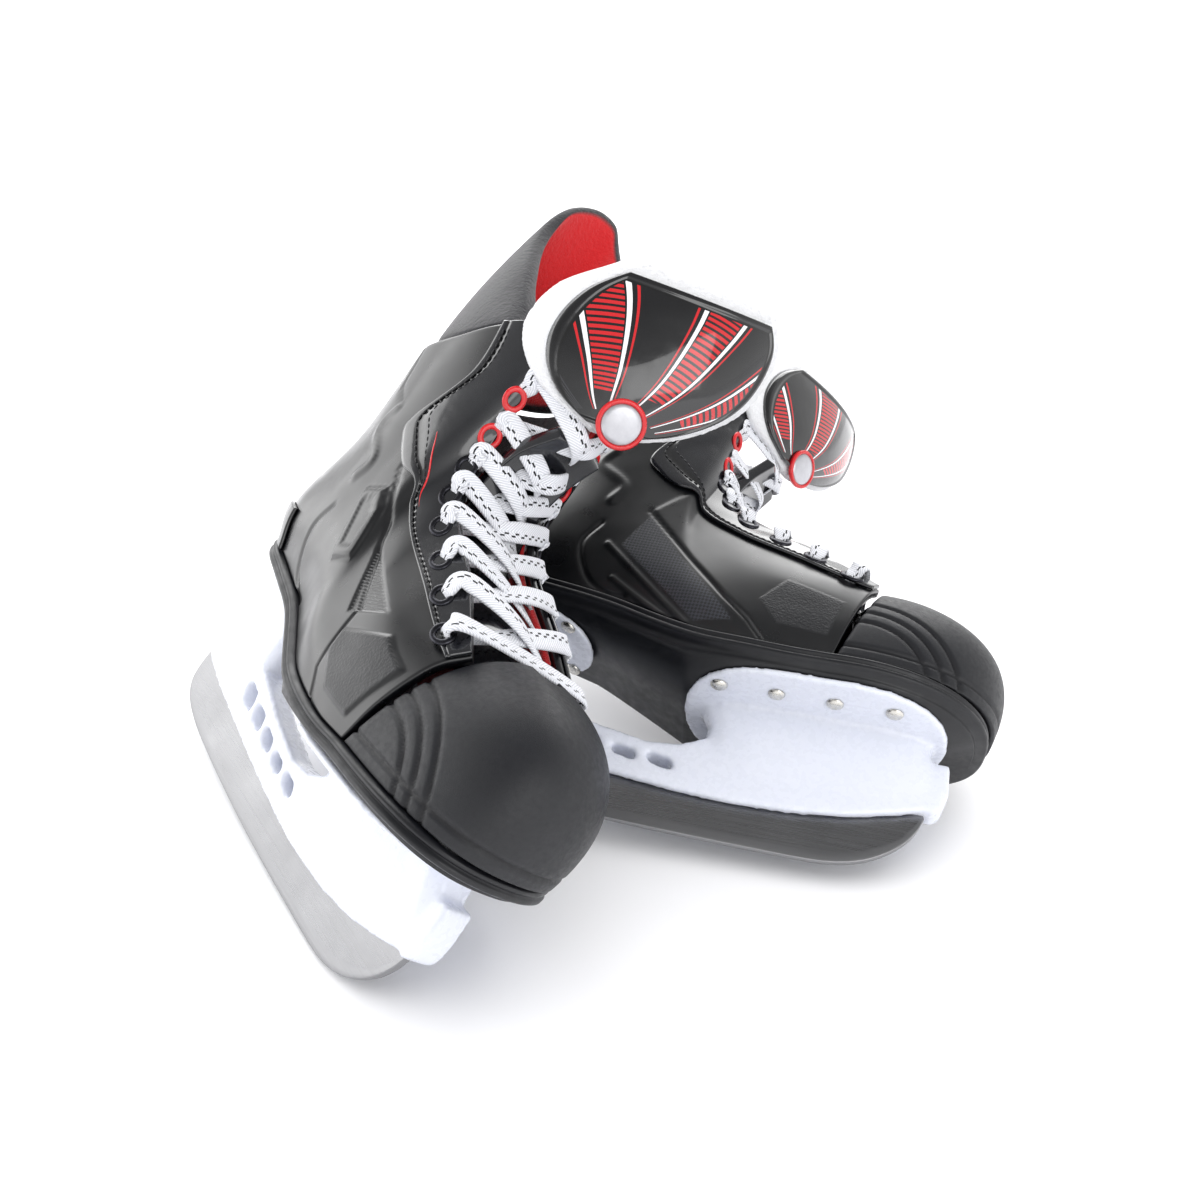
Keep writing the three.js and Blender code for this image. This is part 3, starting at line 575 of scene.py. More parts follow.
def printed_patent():
    """Tongue skin: patent leather printed with rays in white and red, and finely hatched at one side."""
    mat, tree, bsdf, own = surface("printed_patent", Roughness=0.14, IOR=1.5, Coat_Weight=0.8,
                                   Coat_Roughness=0.04)
    seam, border = mark(tree, "seam"), mark(tree, "border")
    place_on = (add(tree, "ShaderNodeAttribute", {"attribute_name": "sheet"}), "Vector")
    parts = add(tree, "ShaderNodeSeparateXYZ", Vector=place_on)
    up = maths(tree, "ADD", (parts, "Y"), 6.0)
    angle = times(tree, maths(tree, "ARCTAN2", (parts, "X"), up), 180 / math.pi)
    reach = maths(tree, "SQRT", times_plus(tree, (parts, "X"), (parts, "X"), times(tree, up, up)))
    printed = times(tree, above(tree, border, 0.1), above(tree, reach, 19.0))
    rib = maths(tree, "FRACT", times_plus(tree, reach, 0.42, times(tree, angle, 0.05)))
    rib = above(tree, rib, 0.42)
    fine = above(tree, maths(tree, "FRACT", times(tree, angle, 0.7)), 0.5)
    base = mixed(tree, times(tree, printed, times(tree, fine, below(tree, angle, -44.0))),
                 linear("0B0B0E"), linear("2C2C30"))
    for centre, wide in ((-26.0, 6.5), (6.0, 7.0), (37.0, 6.0)):
        off = maths(tree, "ABSOLUTE", maths(tree, "SUBTRACT", angle, centre))
        for low, high, colour, textured in ((0.0, wide - 1.8, "C4161E", True),
                                            (wide - 1.3, wide, "EDEDF0", False),
                                            (wide + 1.2, wide + 1.9, "C4161E", False)):
            band = times(tree, above(tree, off, low - 0.01), below(tree, off, high))
            band = times(tree, band, printed)
            if textured:
                band = times(tree, times(tree, band, rib), above(tree, reach, 30.0))
            base = mixed(tree, band, base, linear(colour))
    link(tree, mixed(tree, seam, base, linear("050506")), bsdf, "Base Color")
    uneven_gloss(tree, bsdf, own, 0.1, 0.1, 0.22)
    bump(tree, bsdf, noise(tree, own, 0.1, 2), 0.3, 0.0008)
    return mat


def silvered_plastic():
    """Badge: satin silvered plastic."""
    mat, tree, bsdf, own = surface("silvered_plastic", Metallic=0.8, Roughness=0.35)
    uneven_colour(tree, bsdf, own, 0.4, "AFAFB4", "C8C8CC")
    uneven_gloss(tree, bsdf, own, 1.0, 0.3, 0.42)
    return mat


def thread():
    """Thread: waxed black polyester, slightly shiny."""
    mat, tree, bsdf, own = surface("waxed_thread", Roughness=0.5, IOR=1.5)
    uneven_colour(tree, bsdf, own, 2.0, "060608", "121216")
    bump(tree, bsdf, noise(tree, own, 3.0, 3), 0.4, 0.0003)
    return mat


M = {"shell": polyurethane(),
     "patent": patent_leather(),
     "cap": grained_plastic(),
     "rubber": rubber(),
     "nylon": nylon(),
     "steel": steel(),
     "nickel": plated("nickel_plate", "C9C6BE", "DEDCD6"),
     "gunmetal": plated("black_nickel", "2A2A2E", "45454B"),
     "enamel": enamel(),
     "felt_red": felt("brushed_felt_red", "B40A12", "D8161C", "26262A"),
     "felt_white": felt("wool_felt_white", "D8D9DC", "EAEAEC", "D8D9DC"),
     "felt_grey": felt("footbed_felt", "24242A", "34343C", "24242A"),
     "lace": braided_polyester(),
     "tongue": printed_patent(),
     "silver": silvered_plastic(),
     "thread": thread()}


# ------------------------------------------------------------------ repeated small parts
def scatter_tree():
    """Puts the template on every point, turned so its Z follows "facing" and its X follows "along"."""
    tree = bpy.data.node_groups.new("scatter", "GeometryNodeTree")
    face = tree.interface
    face.new_socket("Geometry", in_out="INPUT", socket_type="NodeSocketGeometry")
    face.new_socket("Template", in_out="INPUT", socket_type="NodeSocketObject")
    face.new_socket("Size", in_out="INPUT", socket_type="NodeSocketFloat").default_value = 1.0
    face.new_socket("Wobble", in_out="INPUT", socket_type="NodeSocketFloat")
    face.new_socket("Material", in_out="INPUT", socket_type="NodeSocketMaterial")
    face.new_socket("Geometry", in_out="OUTPUT", socket_type="NodeSocketGeometry")
    given = add(tree, "NodeGroupInput")
    facing = add(tree, "GeometryNodeInputNamedAttribute", {"data_type": "FLOAT_VECTOR"}, Name="facing")
    along = add(tree, "GeometryNodeInputNamedAttribute", {"data_type": "FLOAT_VECTOR"}, Name="along")
    turned = add(tree, "FunctionNodeAxesToRotation", {"primary_axis": "Z", "secondary_axis": "X"},
                 Primary_Axis=(facing, 0), Secondary_Axis=(along, 0))
    low = maths(tree, "SUBTRACT", (given, "Size"), (given, "Wobble"))
    high = maths(tree, "ADD", (given, "Size"), (given, "Wobble"))
    size = add(tree, "FunctionNodeRandomValue", {"data_type": "FLOAT"}, Seed=7)
    tree.links.new(low[0].outputs[0], size.inputs[2])
    tree.links.new(high[0].outputs[0], size.inputs[3])
    template = add(tree, "GeometryNodeObjectInfo", Object=(given, "Template"))
    points = add(tree, "GeometryNodeMeshToPoints", Mesh=(given, "Geometry"))
    copies = add(tree, "GeometryNodeInstanceOnPoints", Points=(points, 0), Instance=(template, "Geometry"),
                 Rotation=(turned, 0), Scale=(size, 1))
    real = add(tree, "GeometryNodeRealizeInstances", Geometry=(copies, 0))
    painted = add(tree, "GeometryNodeSetMaterial", Geometry=(real, 0), Material=(given, "Material"))
    add(tree, "NodeGroupOutput", Geometry=(painted, 0))
    return tree


SCATTER = scatter_tree()


def scattered(name, side, points, facing, along, template, material, body,
              nodes=(), size=1.0, wobble=0.0):
    """Copies of a small part (own millimetres) on points with directions, as one plain mesh."""
    mesh = bpy.data.meshes.new(name + "_points")
    mesh.from_pydata(place(side, points).tolist(), [], [])
    rotation, _ = FRAMES[side]
    for key, values in (("facing", facing), ("along", along)):
        v = np.array(values, float).reshape(-1, 3)
        if side == "left":
            v = v * (1, -1, 1)
        v = v @ rotation.T
        mesh.attributes.new(key, "FLOAT_VECTOR", "POINT").data.foreach_set("vector", v.ravel())
    part = bpy.data.meshes.new(name + "_template")
    part.from_pydata((np.array(template[0]) / 1000).tolist(), [], [tuple(f) for f in template[1]])
    part.attributes.new("own", "FLOAT_VECTOR", "POINT").data.foreach_set("vector", np.ravel(template[0]))
    part.polygons.foreach_set("use_smooth", [True] * len(part.polygons))
    sample = bpy.data.objects.new(name + "_template", part)
    made = bpy.data.objects.new(name, mesh)
    bpy.context.scene.collection.objects.link(sample)
    bpy.context.scene.collection.objects.link(made)
    nodes_modifier = made.modifiers.new("scatter", "NODES")
    nodes_modifier.node_group = SCATTER
    sockets = {item.name: item.identifier for item in SCATTER.interface.items_tree
               if item.item_type == "SOCKET" and item.in_out == "INPUT"}
    values = {"Template": sample, "Size": float(size), "Wobble": float(wobble), "Material": material}
    for key, value in values.items():
        nodes_modifier[sockets[key]] = value
    bpy.context.view_layer.update()
    result = bpy.data.meshes.new_from_object(made.evaluated_get(bpy.context.evaluated_depsgraph_get()))
    made.modifiers.clear()
    made.data = result
    if not result.materials:
        result.materials.append(material)
    bpy.data.objects.remove(sample)
    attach(made, body)
    if nodes:
        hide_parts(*nodes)
    return made


def stitch():
    """One lockstitch: a short rope end, fat in the middle, 2.7 mm long."""
    x = np.linspace(-1.35, 1.35, 7)
    radius = 0.38 * np.sqrt(np.clip(1 - (x / 1.45) ** 2, 0.05, 1))
    ring = np.linspace(0, 2 * math.pi, 8, endpoint=False)
    sections = radius[:, None, None] * np.stack([np.cos(ring), np.sin(ring)], -1)[None]
    centres = np.stack([x, 0 * x, 0.12 - 0.1 * (x / 1.35) ** 2], -1)
    return tube(centres, sections, np.repeat([[0, 1.0, 0]], 7, 0))


def eyelet():
    """A rolled oval ring, 10.5 by 8.9 mm before its size is set."""
    ring = np.linspace(0, 2 * math.pi, 14, endpoint=False)
    count = 36
    points = [((3.7 + 1.15 * math.cos(b)) * math.cos(a), (3.7 + 1.15 * math.cos(b)) * math.sin(a),
               0.8 * math.sin(b)) for a in np.linspace(0, 2 * math.pi, count, endpoint=False) for b in ring]
    points = np.array(points) * (1.08, 0.92, 1)
    k = len(ring)
    faces = [(i * k + j, ((i + 1) % count) * k + j, ((i + 1) % count) * k + (j + 1) % k, i * k + (j + 1) % k)
             for i in range(count) for j in range(k)]
    return points, outward(points, faces)


def rivet_head():
    profile = [(0.02, -1.75), (0.9, -1.72), (1.9, -1.58), (2.7, -1.28), (3.35, -0.86), (3.72, -0.42),
               (3.85, -0.1), (3.8, 0.1), (2.0, 0.15), (2.0, 2.5), (0.02, 2.5)]
    return lathe(profile, 32)


# ------------------------------------------------------------------ sizes
SHELL_WALL = 3.0
LINER_WALL = 2.8
CLEARANCE = 0.4
FACING_LIFT = CLEARANCE * 2.8
FACING_WALL = 1.6
COUNTER_WALL = 1.8
FLANGE_WALL = 3.2
GUARD_WALL = 7.0
TONGUE_WALL = 9.0
LATERAL = -1
FLANKS = {-1: "lateral", 1: "medial"}
# Rear edge of the glossy facing as (u, t), from the cuff down to the toe cap.
SEAM = np.array([[3.95, 1.0], [4.17, 0.9], [4.1, 0.845], [3.72, 0.755], [3.86, 0.71], [4.64, 0.665],
                 [5.5, 0.712], [6.29, 0.759], [7.28, 0.815], [8.13, 0.815], [8.95, 0.775]])
UNDERSIDE = np.array([[24, 105], [92, 88], [140, 67.4], [290, 67.4]], float)
PLATE = [(100, 153.5), (115, 159), (122.4, 150.6), (129.7, 126.6), (115.6, 121), (111.9, 126.8)]
PLATE_HOLLOW = [(105, 150), (113, 153), (119, 147), (124, 130), (116, 128)]
MESH_WINDOW = [(132, 140), (177.5, 121), (155, 111)]
PENTAGON = [(162, 106), (189, 116.5), (196.8, 113), (207.5, 110), (198, 83), (176, 84.5), (163.5, 96)]
FRAME_LATERAL = [(111.5, 171.5), (118.8, 162.3), (134, 139.4), (160, 114), (163, 88), (172, 77)]
FRAME_MEDIAL = [(106.6, 150.6), (129.2, 124), (151.2, 98.8), (163, 88), (172, 77)]
RIBS_MEDIAL = ([(91, 126), (137, 83)], [(97.5, 107), (125.5, 87)])
CARBON_MEDIAL = [(97, 126), (108, 148), (127, 122), (149, 97), (158, 86), (140, 84)]
PENTAGON_MEDIAL = [(178, 116), (206, 108), (200, 84), (176, 86), (166, 100)]
HEEL_GROOVE = [(85, 139), (78, 125), (84, 108), (94, 100), (105, 97)]
ANKLE_RIDGES = [(82, 192), (75, 180), (90, 166), (86, 155)]
COUNTER_RIBS = ([(22, 150), (40, 158), (62, 150), (74, 132)], [(24, 128), (44, 136), (60, 128), (68, 114)])


def groove(points, line, width, depth):
    return -depth * (1 - smooth(line_distance(points, line), 0, width))


def panel(points, polygon, rise, bevel):
    return rise * (1 - smooth(polygon_distance(points, polygon), -bevel, 0.2))


def curve2(line, count=24):
    flat = np.column_stack([np.asarray(line, float), np.zeros(len(line))])
    return catmull(flat, np.linspace(0, len(line) - 1, count))[:, :2]


def shell(side, flank):
    across = edged(0.02, 8.97, lines(250), 0.002)
    along = edged(0, 1, lines(84), 0.006)
    u, t = crossed(across, along)
    xz = upper(u, t)[:, [0, 2]]
    relief = -edge_drop(len(across), len(along), 1.2)
    grain = np.zeros(len(u))
    ripple, carbon = grain.copy(), grain.copy()
    if flank == LATERAL:
        relief += panel(xz, PLATE, 1.3, 1.6) + panel(xz, PLATE_HOLLOW, -0.7, 1)
        relief += panel(xz, MESH_WINDOW, -1.0, 1.4)
        relief += panel(xz, PENTAGON, 0.9, 1.8)
        ripple = 1 - smooth(polygon_distance(xz, MESH_WINDOW), -1.6, -0.6)
        grain = 1 - smooth(polygon_distance(xz, PENTAGON), -2.4, -1.4)
        edge = FRAME_LATERAL
    else:
        for line in RIBS_MEDIAL:
            relief += -groove(xz, line, 2.4, 0.9)
        carbon = 1 - smooth(polygon_distance(xz, CARBON_MEDIAL), -1.2, 0)
        grain = 1 - smooth(polygon_distance(xz, PENTAGON_MEDIAL), -2.0, -0.6)
        edge = FRAME_MEDIAL
    relief += groove(xz, edge, 1.5, 0.8)
    front = polygon_distance(xz, list(edge) + [(260, 60), (260, 190), (150, 200)])
    relief += 0.5 * (1 - smooth(front, -2.5, 0))
    relief += groove(xz, curve2(HEEL_GROOVE), 2.0, 0.9)
    relief += -groove(xz, curve2(ANKLE_RIDGES), 4.0, 0.9)
    relief += groove(xz, [(58, 222), (66, 200), (84, 192)], 2.2, 0.7)
    outer = on_upper(flank * u, t, relief)
    inner = on_upper(flank * u, t, -SHELL_WALL + 0 * u)
    points, faces = wall(outer, inner, len(across), len(along))
    marks = {"grain": grain, "ripple": ripple, "carbon": carbon}
    twice = {k: np.concatenate([v, 0 * v]) for k, v in marks.items()}
    word = FLANKS[flank]
    return piece(f"{side}_shell_{word}", side, points, faces, M["shell"], f"{side}_skate",
                 [f"{side}_quarter_{word}"], twice)


def seam_at(p):
    flat = np.column_stack([SEAM, np.zeros(len(SEAM))])
    return catmull(flat, p * (len(SEAM) - 1))[:, :2]


def facing_point(flank, p, q, height):
    rear = seam_at(p)
    u = rear[:, 0] + (4.95 + 4.0 * p - rear[:, 0]) * q
    t = rear[:, 1] + (1 - rear[:, 1]) * q
    return on_upper(flank * u, np.minimum(t, 1), height)


def facing(side, flank):
    word = FLANKS[flank]
    across = edged(0, 1, lines(200), 0.004)
    along = edged(0, 1, lines(48), 0.03)
    p, q = crossed(across, along)
    drop = edge_drop(len(across), len(along), 0.9)
    padding = 0.7 * smooth(q, 0.06, 0.3) * (1 - smooth(q, 0.75, 1)) * (0.5 + 0.5 * np.cos(p * 40))
    crease = -0.5 * np.exp(-((q - 0.12) / 0.025) ** 2)
    outer = facing_point(flank, p, q, FACING_LIFT + FACING_WALL - drop + padding * 0.25 + crease)
    inner = facing_point(flank, p, q, FACING_LIFT + 0 * p)
    points, faces = wall(outer, inner, len(across), len(along))
    seam = np.exp(-((q - 0.12) / 0.03) ** 2)
    piece(f"{side}_facing_{word}", side, points, faces, M["patent"], f"{side}_skate",
          [f"{side}_facing_{word}"], {"seam": np.concatenate([seam, 0 * seam])})
    spots, facings, alongs = [], [], []
    for row in (0.1, 0.17):
        fine = np.linspace(0.02, 0.98, 900)
        line = facing_point(flank, fine, row + 0 * fine, FACING_LIFT + FACING_WALL - 0.15)
        travel = np.concatenate([[0], np.cumsum(np.linalg.norm(np.diff(line, axis=0), axis=1))])
        for d in np.arange(2, travel[-1] - 2, 3.3):
            i = np.searchsorted(travel, d)
            way = line[min(i + 1, 899)] - line[i - 1]
            spots.append(line[i])
            alongs.append(way / np.linalg.norm(way))
            uu = seam_at(np.array([fine[i]]))[0]
            facings.append(upper_normal(flank * uu[0], uu[1])[0])
    scattered(f"{side}_facing_stitches_{word}", side, spots, facings, alongs, stitch(), M["thread"],
              f"{side}_skate", wobble=0.06)
    if flank != LATERAL:
        return
    p = np.linspace(0.44, 0.66, 80)
    line = facing_point(flank, p, 0.22 + 0 * p, FACING_LIFT + FACING_WALL + 0.1)
    run = seam_at(p)
    ring = np.linspace(0, 2 * math.pi, 8, endpoint=False)
    narrow = np.sin(np.linspace(0.12, 1, 80) * math.pi)[:, None, None]
    points, faces = tube(line, narrow * np.stack([0.5 * np.cos(ring), 0.2 * np.sin(ring)], -1)[None],
                         np.cross(upper_normal(flank * run[:, 0], run[:, 1]), np.gradient(line, axis=0)))
    piece(f"{side}_accent_{word}", side, points, faces, M["enamel"], f"{side}_skate")


EYELET_U = [8.63, 8.08, 7.6, 7.13, 6.68, 6.25, 5.82, 5.4]
EYELET_T = [0.85, 0.9, 0.925, 0.945, 0.955, 0.96, 0.965, 0.955]
LACE_OVER = [0, 5, 5, 5, 7, 11, 19, 27]
LACE_HALF_WIDTH = 4.7
LACE_HALF_DEPTH = 1.1


def eyelets(side):
    for word, picked, material in (("black", range(6), "gunmetal"), ("red", range(6, 8), "enamel")):
        spots, ways, alongs = [], [], []
        for flank in (-1, 1):
            for e in picked:
                u, t = flank * EYELET_U[e], EYELET_T[e] - 0.02
                spots.append(on_upper(u, t, FACING_LIFT + FACING_WALL + 0.15)[0])
                ways.append(upper_normal(u, t)[0])
                step = upper(flank * (EYELET_U[e] + 0.1), t) - upper(flank * (EYELET_U[e] - 0.1), t)
                alongs.append(step[0] / np.linalg.norm(step))
        scattered(f"{side}_eyelets_{word}", side, spots, ways, alongs, eyelet(), M[material], f"{side}_skate",
                  size=1.12, wobble=0.02)


def counter(side):
    across = edged(-2.3, 2.3, lines(180), 0.004)
    along = edged(0, 0.3, lines(50), 0.03)
    u, t = crossed(across, along)
    xz = upper(u, t)[:, [0, 2]]
    relief = CLEARANCE + COUNTER_WALL - edge_drop(len(across), len(along), 1.1)
    for line in COUNTER_RIBS:
        relief = relief - groove(xz, curve2(line), 3.0, 0.8)
    outer = on_upper(u, t, relief)
    inner = on_upper(u, t, CLEARANCE + 0 * u)
    points, faces = wall(outer, inner, len(across), len(along))
    zero = np.zeros(len(points))
    piece(f"{side}_counter", side, points, faces, M["shell"], f"{side}_skate",
          [f"{side}_heel_counter"], {"grain": zero, "ripple": zero, "carbon": zero})


def liner(side):
    across = edged(-8.3, 8.3, lines(220), 0.002)
    along = edged(0, 1.0, lines(36), 0.02)
    u, t = crossed(across, along)
    t = t * (1 - 0.02 * smooth(np.abs(u), 3.6, 5))
    face = -(SHELL_WALL + CLEARANCE)
    puff = 0.8 * smooth(t, 0.9, 1.0)
    outer = on_upper(u, t, face - edge_drop(len(across), len(along), 1.0))
    inner = on_upper(u, t, face - LINER_WALL - puff + edge_drop(len(across), len(along), 1.2))
    points, faces = wall(outer, inner, len(across), len(along))
    # The lining is dark at the rear. Below t 0.8 the front is painted three-quarters dark: painted shade deep
    # inside the boot.
    dark = np.maximum(1 - smooth(np.abs(u), 4.4, 5.6), 0.75 * (1 - smooth(t, 0.8, 0.9)))
    piece(f"{side}_lining", side, points, faces, M["felt_red"], f"{side}_skate",
          [f"{side}_liner"], {"dark": np.tile(dark, 2)})


def cap_point(s, q, inset):
    angle = (s - 0.5) * math.pi
    ahead = np.maximum(np.cos(angle), 0) ** 0.82
    drop = np.maximum(1 - q ** 2.3, 0) ** (1 / 2.3)
    z = 77 + (60 - inset) * q
    x = 204.2 + 0.34 * (z - 77) + (75 - inset) * drop * ahead
    y = (43.4 - inset) * drop * np.sign(angle) * np.abs(np.sin(angle)) ** 0.82 - 8 * ahead ** 2
    return np.stack([x, y, z], -1)


def toe_cap(side):
    across = edged(0, 1, lines(200), 0.004)
    up = np.sin(edged(0, 1, lines(90), 0.006) * math.pi / 2) * 0.992
    s, q = crossed(across, up)
    base = cap_point(s, q, 0)
    e = 0.004
    ds = cap_point(np.minimum(s + e, 1), q, 0) - cap_point(np.maximum(s - e, 0), q, 0)
    dq = cap_point(s, np.minimum(q + e, 0.995), 0) - cap_point(s, np.maximum(q - e, 0), 0)
    n = np.cross(ds, dq)
    n /= np.maximum(np.linalg.norm(n, axis=1, keepdims=True), 1e-9)
    far = np.hypot(base[:, 0] - 214, (base[:, 2] - 70) * 1.05)
    flank = smooth(np.abs(base[:, 1] + 4), 22, 27)
    cut = np.zeros(len(s))
    for radius in (30, 37.5, 45):
        cut = np.maximum(cut, np.exp(-((far - radius) / 0.9) ** 2) * flank)
    cut = np.maximum(cut, np.exp(-((base[:, 2] - 83) / 0.7) ** 2))
    relief = -1.3 * cut - edge_drop(len(across), len(up), 0.9)
    outer = base + n * relief[:, None]
    inner = cap_point(s, q, 2.6)
    points, faces = wall(outer, inner, len(across), len(up))
    # The groove mask also darkens the grooves in the material: painted shade in the cut recesses.
    piece(f"{side}_toe_cap_moulding", side, points, faces, M["cap"], f"{side}_skate",
          [f"{side}_toe_cap"], {"groove": np.concatenate([cut, 0 * cut])})


def sole_outline(outset):
    flank = upper(np.linspace(0.12, 9, 110), 0 * np.linspace(0.12, 9, 110))
    i = np.linspace(0, 12, 92)[1:-1]
    toe = cap_point(1 - i / 12, 0 * i, 0) - np.stack([5 * np.sin(i / 12 * math.pi), 0 * i, 0 * i], -1)
    ring = np.vstack([upper(0, 0), flank, toe, (flank * (1, -1, 1))[::-1]])
    for _ in range(6):
        ring = 0.5 * ring + 0.25 * (np.roll(ring, 1, 0) + np.roll(ring, -1, 0))
    step = np.roll(ring, -1, 0) - np.roll(ring, 1, 0)
    out = np.stack([step[:, 1], -step[:, 0]], -1)
    out /= np.linalg.norm(out, axis=1, keepdims=True)
    return np.column_stack([ring[:, :2] - out * outset, ring[:, 2]])


def outsole(side):
    bead = [(1.6, -7), (2.5, -6.4), (2.7, -5.4), (2.3, -4.5), (1.5, -4.0), (1.5, -3.7), (2.3, -3.2),
            (2.7, -2.4), (2.3, -1.6), (1.2, -0.9), (0.2, -0.4), (-2, -0.4), (-12, -0.4)]
    under = sole_outline(-3.5)
    under[:, 2] = np.interp(under[:, 0], UNDERSIDE[:, 0], UNDERSIDE[:, 1])
    shoulder = sole_outline(-2.6)
    shoulder[:, 2] = shoulder[:, 2] - 7
    rings = [under, 0.5 * (under + shoulder), shoulder]
    rings += [sole_outline(out) + (0, 0, dz) for out, dz in bead]
    n = len(under)
    points = np.vstack(rings)
    faces = grid_faces(n, len(rings), wrap=True)
    half = n // 2
    for start in (0, (len(rings) - 1) * n):
        cap = []
        for i in range(1, half):
            a, b, c, d = start + i, start + i + 1, start + (n - i - 1) % n, start + (n - i) % n
            if c != b:
                cap.append((a, b, c, d) if start else (d, c, b, a))
        cap.append((start, start + 1, start + n - 1) if start else (start + n - 1, start + 1, start))
        faces += cap
    made = piece(f"{side}_sole", side, points, outward(points, faces), M["rubber"], f"{side}_skate",
                 [f"{side}_outsole"])
    bm = bmesh.new()
    bm.from_mesh(made.data)
    bmesh.ops.remove_doubles(bm, verts=bm.verts, dist=1e-7)
    bmesh.ops.recalc_face_normals(bm, faces=bm.faces)
    bm.to_mesh(made.data)
    bm.free()


BLADE_HALF = 1.6
BLADE_EDGE = [(251, 29), (248, 22), (243, 15), (236, 9), (227, 4), (216, 1), (204, 0), (180, 0), (150, 0.4),
              (115, 1.4), (78, 3.4), (45, 6), (26, 8.5), (12, 12), (4, 16.5), (0.5, 22), (0, 30), (1, 38)]
HOLDER_LINE = np.array([(2, 42), (14, 36), (36, 31.5), (66, 27.5), (93, 24), (120, 21), (145, 18.6),
                        (170, 17.6), (195, 18.6), (218, 21.5), (236, 26), (252, 31)])


def runner(side):
    flat = np.column_stack([np.array(BLADE_EDGE), np.zeros(len(BLADE_EDGE))])
    s = np.linspace(0, len(BLADE_EDGE) - 1, lines(280))
    low = catmull(flat, s)[:, :2]
    x = np.clip(low[:, 0], 3, 249)
    high = np.column_stack([x, np.interp(x, HOLDER_LINE[:, 0], HOLDER_LINE[:, 1]) + 5])
    high[:, 1] = np.maximum(high[:, 1], low[:, 1] + 2)
    v = edged(0, 1, 16, 0.02)
    grid = low[None] + (high - low)[None] * v[:, None, None]
    grid = grid.reshape(-1, 2)
    drop = edge_drop(len(s), len(v), 0.5)
    outer = np.column_stack([grid[:, 0], BLADE_HALF - drop, grid[:, 1]])
    inner = np.column_stack([grid[:, 0], -BLADE_HALF + drop, grid[:, 1]])
    points, faces = wall(outer, inner, len(s), len(v))
    near = np.tile(np.linalg.norm((high - low)[None] * v[:, None, None], axis=2).ravel(), 2)
    piece(f"{side}_runner", side, points, faces, M["steel"], f"{side}_skate", [f"{side}_blade"],
          {"ground": 1 - smooth(near, 3.4, 4.0)})


def rivets(side):
    spots, ways = [], []
    for row, count, spacing, x0, y0 in (("front", 4, 25.5, 156, 25), ("rear", 3, 16, 48, 17)):
        for flank in (-1, 1):
            for i in range(count):
                x = x0 + i * spacing
                z = np.interp(x, UNDERSIDE[:, 0], UNDERSIDE[:, 1]) - CLEARANCE * 1.5 - FLANGE_WALL
                spots.append((x, flank * y0, z - 0.1))
                ways.append((0.25, 0, 1) if row == "rear" else (0, 0, 1))
    names = [f"{side}_{row}_rivet_{letter}{i + 1}" for row, count in (("front", 4), ("rear", 3))
             for letter in "ab" for i in range(count)]
    alongs = np.repeat([[1.0, 0, 0]], len(spots), 0)
    scattered(f"{side}_rivets", side, spots, np.array(ways, float), alongs, rivet_head(), M["nickel"],
              f"{side}_skate", names, wobble=0.015)


def guard(side):
    sag = 1 if side == "right" else -1
    across = edged(-1, 1, lines(120), 0.01)
    along = edged(0, 1, lines(80), 0.02)
    w, t = crossed(across, along)

    def at(depth):
        base = on_upper(w * 3.9, 1.0 + 0 * w, -SHELL_WALL)
        n = upper_normal(w * 3.9, 1.0 + 0 * w)
        n[:, 2] = 0
        n /= np.linalg.norm(n, axis=1, keepdims=True)
        inward = -n * np.reshape(depth, (-1, 1))
        crest = (1 - np.abs(w - sag * 0.14 * (1 - w * w)) ** 2) ** 0.9
        rise = 4 + 104 * crest
        x = base[:, 0] - 4 * t * t + inward[:, 0]
        y = (base[:, 1] + inward[:, 1]) * (1 - 0.25 * t * t * crest) + sag * t * t * 9
        return np.stack([x, y, base[:, 2] + 2.5 + t * rise], -1)

    edge = np.minimum.reduce([1 - np.abs(w), t * 1.2, (1 - t) * 1.2])
    round_off = GUARD_WALL * 0.42 * (1 - np.sqrt(np.clip(1 - (1 - np.clip(edge / 0.09, 0, 1)) ** 2, 0, 1)))
    outer, inner = at(round_off), at(GUARD_WALL - round_off)
    points, faces = wall(outer, inner, len(across), len(along))
    dark = np.concatenate([np.ones(len(w)), 1 - smooth(edge, 0.03, 0.05)])
    made = piece(f"{side}_guard_felt", side, points, faces, M["felt_red"], f"{side}_guard",
                 [f"{side}_tendon_guard"], {"dark": dark})


TONGUE_BASE = [[214, 0, 126, 17], [192, 0, 138, 18], [171, 0, 149, 17], [153, 0, 161, 15], [144, 0, 175, 14],
               [144, 0, 191, 13], [150, 0, 206, 12], [160, 2, 219, 9]]
TONGUE_TOP = [[167.5, 4, 226.5, 5], [171, 5, 240, 30], [175, 7, 260, 43], [173, 8, 285, 42],
              [167, 8, 306, 28]]
FREE_BOW = {"right": (18, 22, 15, 0), "left": (16, 22, 18, 0)}
FACE_MARGIN = 7.5
BADGE_SIDES = 48
SKIN_START, SKIN_END = 0.45, 3.6      # where the skin lies along TONGUE_TOP
TONGUE_HINGE = (167.5, 226.5)         # x and z of the tongue's fold
TONGUE_DROOP = {"right": 0, "left": 14}


